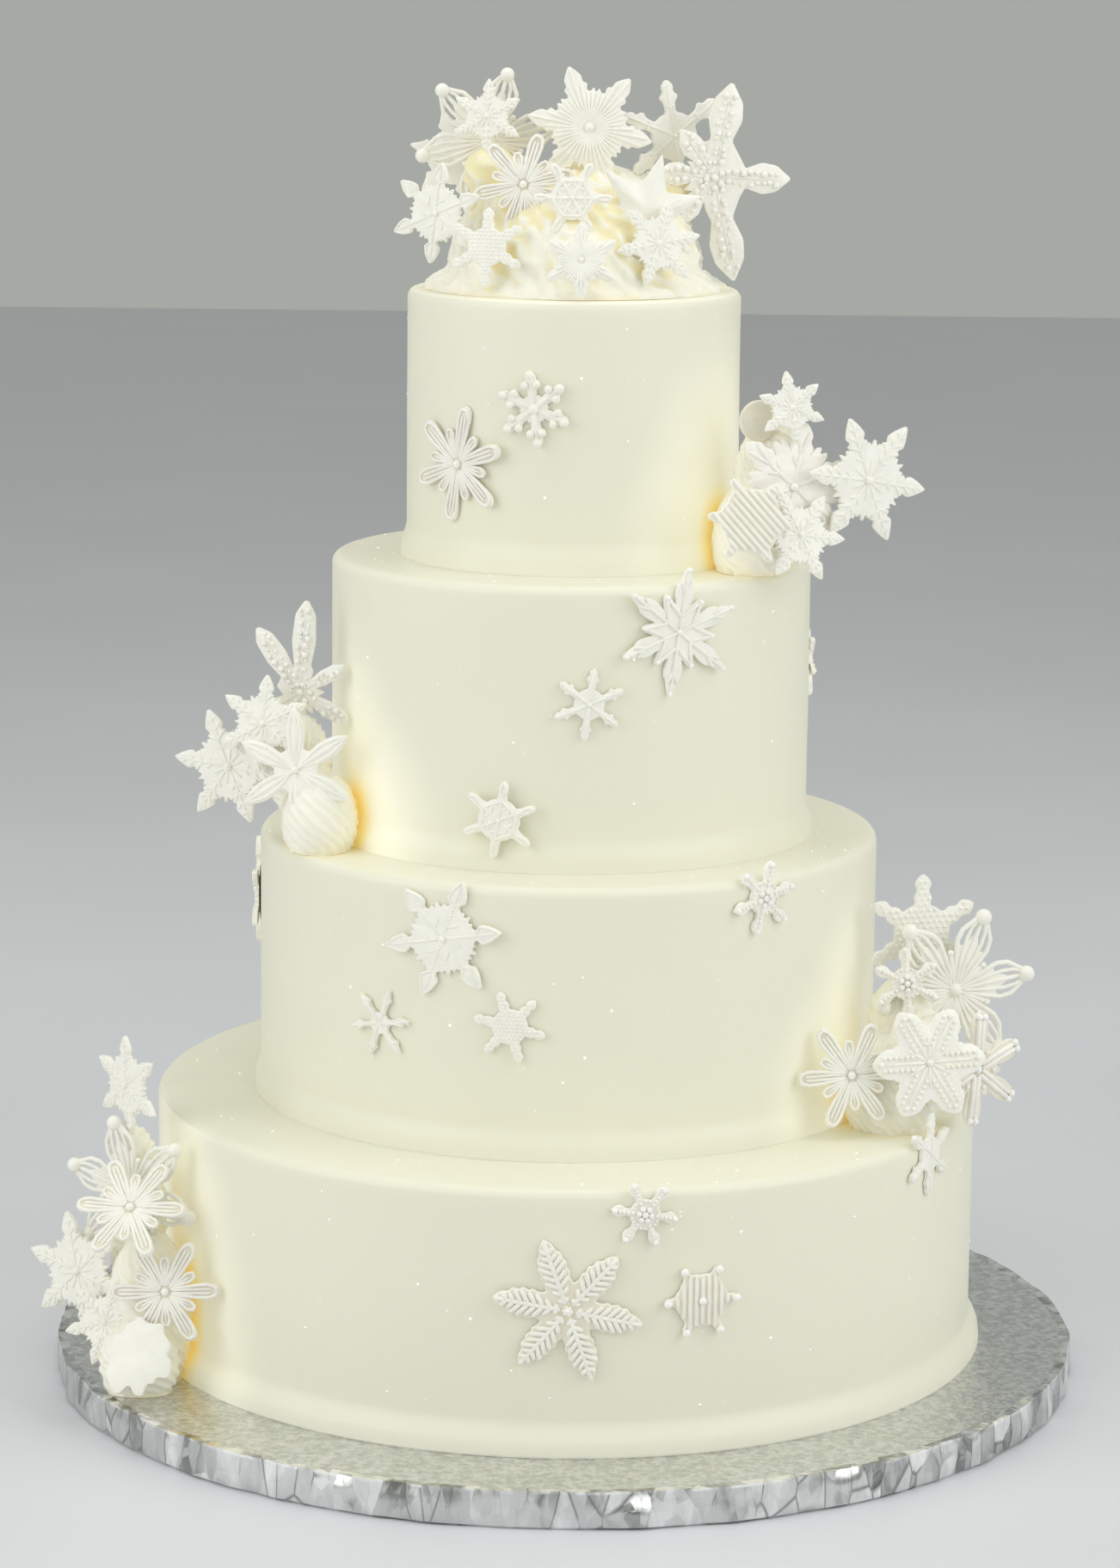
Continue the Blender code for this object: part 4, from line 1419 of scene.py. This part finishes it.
def pipe_spokes(flake):
    """Spokes to every tip and valley with rows of small dots beside them."""
    flake.plate(0.8)
    pitch = 0.0029 / flake.radius
    for index in flake.arms:
        flake.ridge(index, (0.06, 0.4, 0.78))
        flake.line([flake.between(index, share) for share in (0.06, 0.24, 0.42)])
        for step in range(int(0.65 / pitch) + 1):
            for side in (-0.105, 0.105):
                flake.dot(flake.on_arm(index, 0.30 + pitch * step, side), 0.0021, 0.0009)
        flake.bead(flake.on_arm(index, 0.86), 0.0027, False)
    flake.bead(CENTRE, 0.0038, False)


def pipe_veins(flake):
    """A smooth plate whose arms carry a forked vein from a pearl in the middle."""
    flake.plate(0.8)
    width = flake.settings.line_width * 1.4
    for index in flake.arms:
        flake.ridge(index, (0.07, 0.3, 0.5), width)
        for sign in (-1, 1):
            fork = flake.on_arm(index, 0.92, 0.10 * sign)
            vein = flake.between(index - (sign < 0), 0.66, -9 * sign)
            flake.trimmed(flake.on_arm(index, 0.5), fork, width * 0.9, NEAR_EDGE)
            flake.trimmed(flake.on_arm(index, 0.30), vein, width * 0.8)
    flake.bead(CENTRE, 0.0042)


def pipe_beaded(flake):
    """Plain arms sprinkled with pearls and dots of icing."""
    flake.plate(0.8, 0.1)
    rng = random.Random(int(flake.radius * 1e5))
    for index in flake.arms:
        count = max(3, int(flake.tips[index].length / 0.0034))
        for step in range(1, count):
            for side in (-0.045, 0.045):
                share = step / count + rng.uniform(-0.02, 0.02)
                spot = flake.on_arm(index, share, side + rng.uniform(-0.02, 0.02))
                size = 0.0016 + 0.0016 * rng.random()
                if flake.holds(spot, size * 0.4):
                    flake.bead(spot, size, rng.random() < 0.6)
        flake.ridge(index, (0.08, 0.4, 0.8), 0.0012)
    flake.bead(CENTRE, 0.0034)


def pipe_plain(flake):
    """A plain plate."""
    flake.plate(1.0)


STYLES = {
    "dendrite": pipe_dendrite,
    "barbs": pipe_barbs,
    "loops": pipe_loops,
    "lace": pipe_lace,
    "rays": pipe_rays,
    "lattice": pipe_lattice,
    "hexagon": pipe_hexagon,
    "arrows": pipe_arrows,
    "curls": pipe_curls,
    "dots": pipe_dots,
    "pearls": pipe_pearls,
    "chevron": pipe_chevron,
    "stripes": pipe_stripes,
    "star": pipe_star,
    "beaded": pipe_beaded,
    "spokes": pipe_spokes,
    "sprig": pipe_sprig,
    "leaves": pipe_leaves,
    "veins": pipe_veins,
    "tubes": pipe_tubes,
    "plain": pipe_plain,
}


def bearing(point):
    """Clockwise angle of a direction from up, in degrees."""
    return math.degrees(math.atan2(point.x, point.y))


def styled_outline(style, tips, radius):
    """Fine outline of a flake from the tips of its arms."""
    arm, valley = OUTLINES[style]
    points = []
    for index, tip in enumerate(tips):
        aside = Vector((tip.y, -tip.x)).normalized() * radius * min(1.0, 1.1 * tip.length / radius)
        points += [tip * along - aside * half for along, half in arm if half > 0]
        points += [tip * along + aside * half for along, half in reversed(arm)]
        start = bearing(tip)
        gap = (bearing(tips[(index + 1) % len(tips)]) - start) % 360
        for share, degrees in valley:
            points.append(heading(start + gap * (0.5 + degrees / 60)) * radius * share)
    return points


def sixths(spin):
    """Directions of six even arms."""
    return [spin + 60 * step for step in range(6)]


def dress(flake, matrix, name, node, finish, sharp=50):
    """Stands a piped flake in its place and gives it its materials."""
    shape = flake.finish()
    shape.transform(matrix)
    materials = [known("flake_" + finish, dried_icing), known("sugar_pearl", sugar_pearl)]
    if any(face.material_index == GROOVE_SHADE for face in shape.faces):
        materials.append(known("flake_groove", dried_icing))
    return settle(name, shape, materials, [node], sharp)


def build_flake(name, settings):
    """One flake in the place of its CAD plate, as long and as turned as that."""
    style, spin, finish = (*FLAKES[name], "white")[:3]
    outline, matrix, depth = read_flake(name)
    flake = Flake(outline, ODD_ARMS.get(name, sixths(spin)), depth, settings)
    if style in OUTLINES:
        flake.outline = styled_outline(style, flake.tips, flake.radius)
    STYLES[style](flake)
    return dress(flake, matrix, "flake_" + name, name, finish, 70 if style == "star" else 50)


class CAKE_OT_wall_flakes(bpy.types.Operator):
    """Pipes the flakes on the walls."""

    bl_idname = "cake.wall_flakes"
    bl_label = "Pipe the wall flakes"

    def execute(self, context):
        for name in FLAKES:
            if name.startswith("wall"):
                build_flake(name, active(context))
        return {"FINISHED"}


class CAKE_OT_heap_flakes(bpy.types.Operator):
    """Pipes the flakes that stand in the heaps."""

    bl_idname = "cake.heap_flakes"
    bl_label = "Pipe the heap flakes"

    def execute(self, context):
        for name in FLAKES:
            if not name.startswith("wall"):
                build_flake(name, active(context))
        return {"FINISHED"}


def small_outline(style, radius, spin):
    """Outline of a small plate fused to its heap."""
    if style == "dendrite":
        tips = [heading(angle) * radius for angle in sixths(spin)]
        return styled_outline(style, tips, radius)
    rng = random.Random(11)
    reaches = [radius * (0.97 if style == "disc" else rng.uniform(0.70, 1.08)) for step in range(30)]
    return [heading(spin + 12 * step) * reach for step, reach in enumerate(reaches)]


class CAKE_OT_small_plates(bpy.types.Operator):
    """Presses the small plates into their heaps."""

    bl_idname = "cake.small_plates"
    bl_label = "Press in the small plates"

    def execute(self, context):
        settings = active(context)
        for heap, rows in FUSED.items():
            for number, (style, radius, spin, place, azimuth, lift) in enumerate(rows):
                flake = Flake(small_outline(style, radius, spin), sixths(spin), SMALL_PLATE, settings)
                STYLES[style if style in STYLES else "plain"](flake)
                matrix = placing(azimuth, lift, above(HEAPS[heap][0], place))
                # the disc wears the groove-shade beige all over
                finish = "groove" if style == "disc" else "white"
                dress(flake, matrix, "plate_%s_%d" % (heap, number), heap, finish)
        return {"FINISHED"}


def speck_spot(rng):
    """A spot on a tier's wall or ledge for one sugar speck, with its outward direction."""
    index = rng.choice((0, 0, 0, 0, 1, 1, 1, 2, 2, 3))
    radius, top = wall_radius(index), LEDGES[index + 1]
    angle = rng.uniform(0, 2 * math.pi)
    out = Vector((math.cos(angle), math.sin(angle), 0))
    if index < 3 and rng.random() < 0.45:
        reach = rng.uniform(wall_radius(index + 1) + FLARES[index + 1] + 0.002, radius - 0.004)
        return out * reach + Vector((0, 0, top)), Vector((0, 0, 1))
    height = rng.uniform(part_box(TIERS[index])[0][2] + 0.02, top - 0.006)
    return out * (radius - 0.0001) + Vector((0, 0, height)), out


class CAKE_OT_specks(bpy.types.Operator):
    """Dusts the icing with glittering sugar specks."""

    bl_idname = "cake.specks"
    bl_label = "Dust with sugar"

    def execute(self, context):
        rng = random.Random(31)
        shape = bmesh.new()
        for count in range(active(context).speck_count):
            spot, out = speck_spot(rng)
            size = 0.0004 + 0.0005 * rng.random() ** 2
            turn = Matrix.Rotation(rng.uniform(0, 6.28), 4, out)
            flat = out.to_track_quat("Z", "Y").to_matrix().to_4x4()
            squash = Matrix.Diagonal((1, rng.uniform(0.5, 1), 0.5, 1))
            matrix = Matrix.Translation(spot) @ turn @ flat @ squash
            bmesh.ops.create_icosphere(shape, subdivisions=1, radius=size, matrix=matrix)
        settle("sugar_specks", shape, [known("speck_sugar", speck_sugar)], ["tier_1"], 10)
        return {"FINISHED"}


# camera solved from the rims of the tiers and the board
CAMERA_AWAY = 2.1983
CAMERA_HEIGHT = 0.716
CAMERA_PITCH = 10.895
CAMERA_ROLL = 0.5975
CAMERA_FOCUS = 5301.2
CAMERA_MIDDLE = 661.8

# the point that the lights look at
CAKE_MIDDLE = (0, 0, 0.32)


def add_light(name, place, size, power):
    """A soft box that looks at the middle of the cake."""
    lamp = bpy.data.lights.new(name, "AREA")
    lamp.shape = "RECTANGLE"
    lamp.size, lamp.size_y = size
    lamp.energy = power
    holder = placed(name, lamp)
    holder.location = place
    holder.rotation_euler = (Vector(CAKE_MIDDLE) - Vector(place)).to_track_quat("-Z", "Y").to_euler()


def add_camera():
    """The camera at the place from which the photograph was taken."""
    lens = bpy.data.cameras.new("camera")
    lens.sensor_fit = "AUTO"
    lens.sensor_width = 36.0
    lens.lens = CAMERA_FOCUS / PICTURE[1] * 36.0
    lens.shift_x = (PICTURE[0] / 2 - CAMERA_MIDDLE) / PICTURE[1]
    lens.clip_end = 50.0
    holder = placed("camera", lens)
    stand = Matrix.Translation((0, -CAMERA_AWAY, CAMERA_HEIGHT))
    tilt = Matrix.Rotation(math.radians(90 - CAMERA_PITCH), 4, "X")
    roll = Matrix.Rotation(math.radians(CAMERA_ROLL), 4, "Z")
    holder.matrix_world = stand @ tilt @ roll
    bpy.context.scene.camera = holder


class CAKE_OT_stage(bpy.types.Operator):
    """Sets up the table, the soft studio light and the camera."""

    bl_idname = "cake.stage"
    bl_label = "Set the stage"

    def execute(self, context):
        shape = bmesh.new()
        bmesh.ops.create_grid(shape, x_segments=1, y_segments=1, size=6.0)
        mesh = cast("table", shape)
        mesh.materials.append(known("table_top", table_top))
        table = placed("table", mesh)
        world = bpy.data.worlds.new("studio")
        world.use_nodes = True
        sky = world.node_tree.nodes["Background"]
        sky.inputs["Color"].default_value = (0.62, 0.64, 0.60, 1.0)
        sky.inputs["Strength"].default_value = 0.62
        context.scene.world = world
        add_light("left_box", (-1.9, -1.0, 1.3), (1.8, 2.2), 20.5)
        add_light("right_box", (1.9, -0.9, 1.4), (1.8, 2.2), 21.5)
        add_light("top_box", (0.0, 0.1, 2.4), (1.6, 1.6), 13)
        add_light("front_left_box", (-1.3, -2.3, 1.2), (1.4, 1.4), 4.2)
        add_light("front_right_box", (1.3, -2.3, 1.2), (1.4, 1.4), 4.2)
        add_camera()
        context.scene.view_settings.view_transform = "Standard"
        return {"FINISHED"}


class CAKE_PT_panel(bpy.types.Panel):
    """Lists the steps and the sizes."""

    bl_idname = "CAKE_PT_panel"
    bl_label = "Snowflake Cake"
    bl_space_type = "VIEW_3D"
    bl_region_type = "UI"
    bl_category = "Cake"

    def draw(self, context):
        for step in STEPS:
            self.layout.operator(step.bl_idname)
        for key in CakeSettings.__annotations__:
            self.layout.prop(active(context), key)


STEPS = (
    CAKE_OT_board,
    CAKE_OT_tiers,
    CAKE_OT_heaps,
    CAKE_OT_wall_flakes,
    CAKE_OT_heap_flakes,
    CAKE_OT_small_plates,
    CAKE_OT_specks,
    CAKE_OT_stage,
)


def register():
    """Registers the settings, the steps and the panel."""
    bpy.utils.register_class(CakeSettings)
    bpy.types.Scene.snowflake_cake = bpy.props.PointerProperty(type=CakeSettings)
    for step in STEPS:
        bpy.utils.register_class(step)
    bpy.utils.register_class(CAKE_PT_panel)


def unregister():
    """Takes them out again."""
    bpy.utils.unregister_class(CAKE_PT_panel)
    for step in reversed(STEPS):
        bpy.utils.unregister_class(step)
    del bpy.types.Scene.snowflake_cake
    bpy.utils.unregister_class(CakeSettings)


def main():
    """Builds the cake step by step."""
    register()
    bpy.ops.cake.board()
    bpy.ops.cake.tiers()
    bpy.ops.cake.heaps()
    bpy.ops.cake.wall_flakes()
    bpy.ops.cake.heap_flakes()
    bpy.ops.cake.small_plates()
    bpy.ops.cake.specks()
    bpy.ops.cake.stage()


if __name__ == "__main__":
    main()
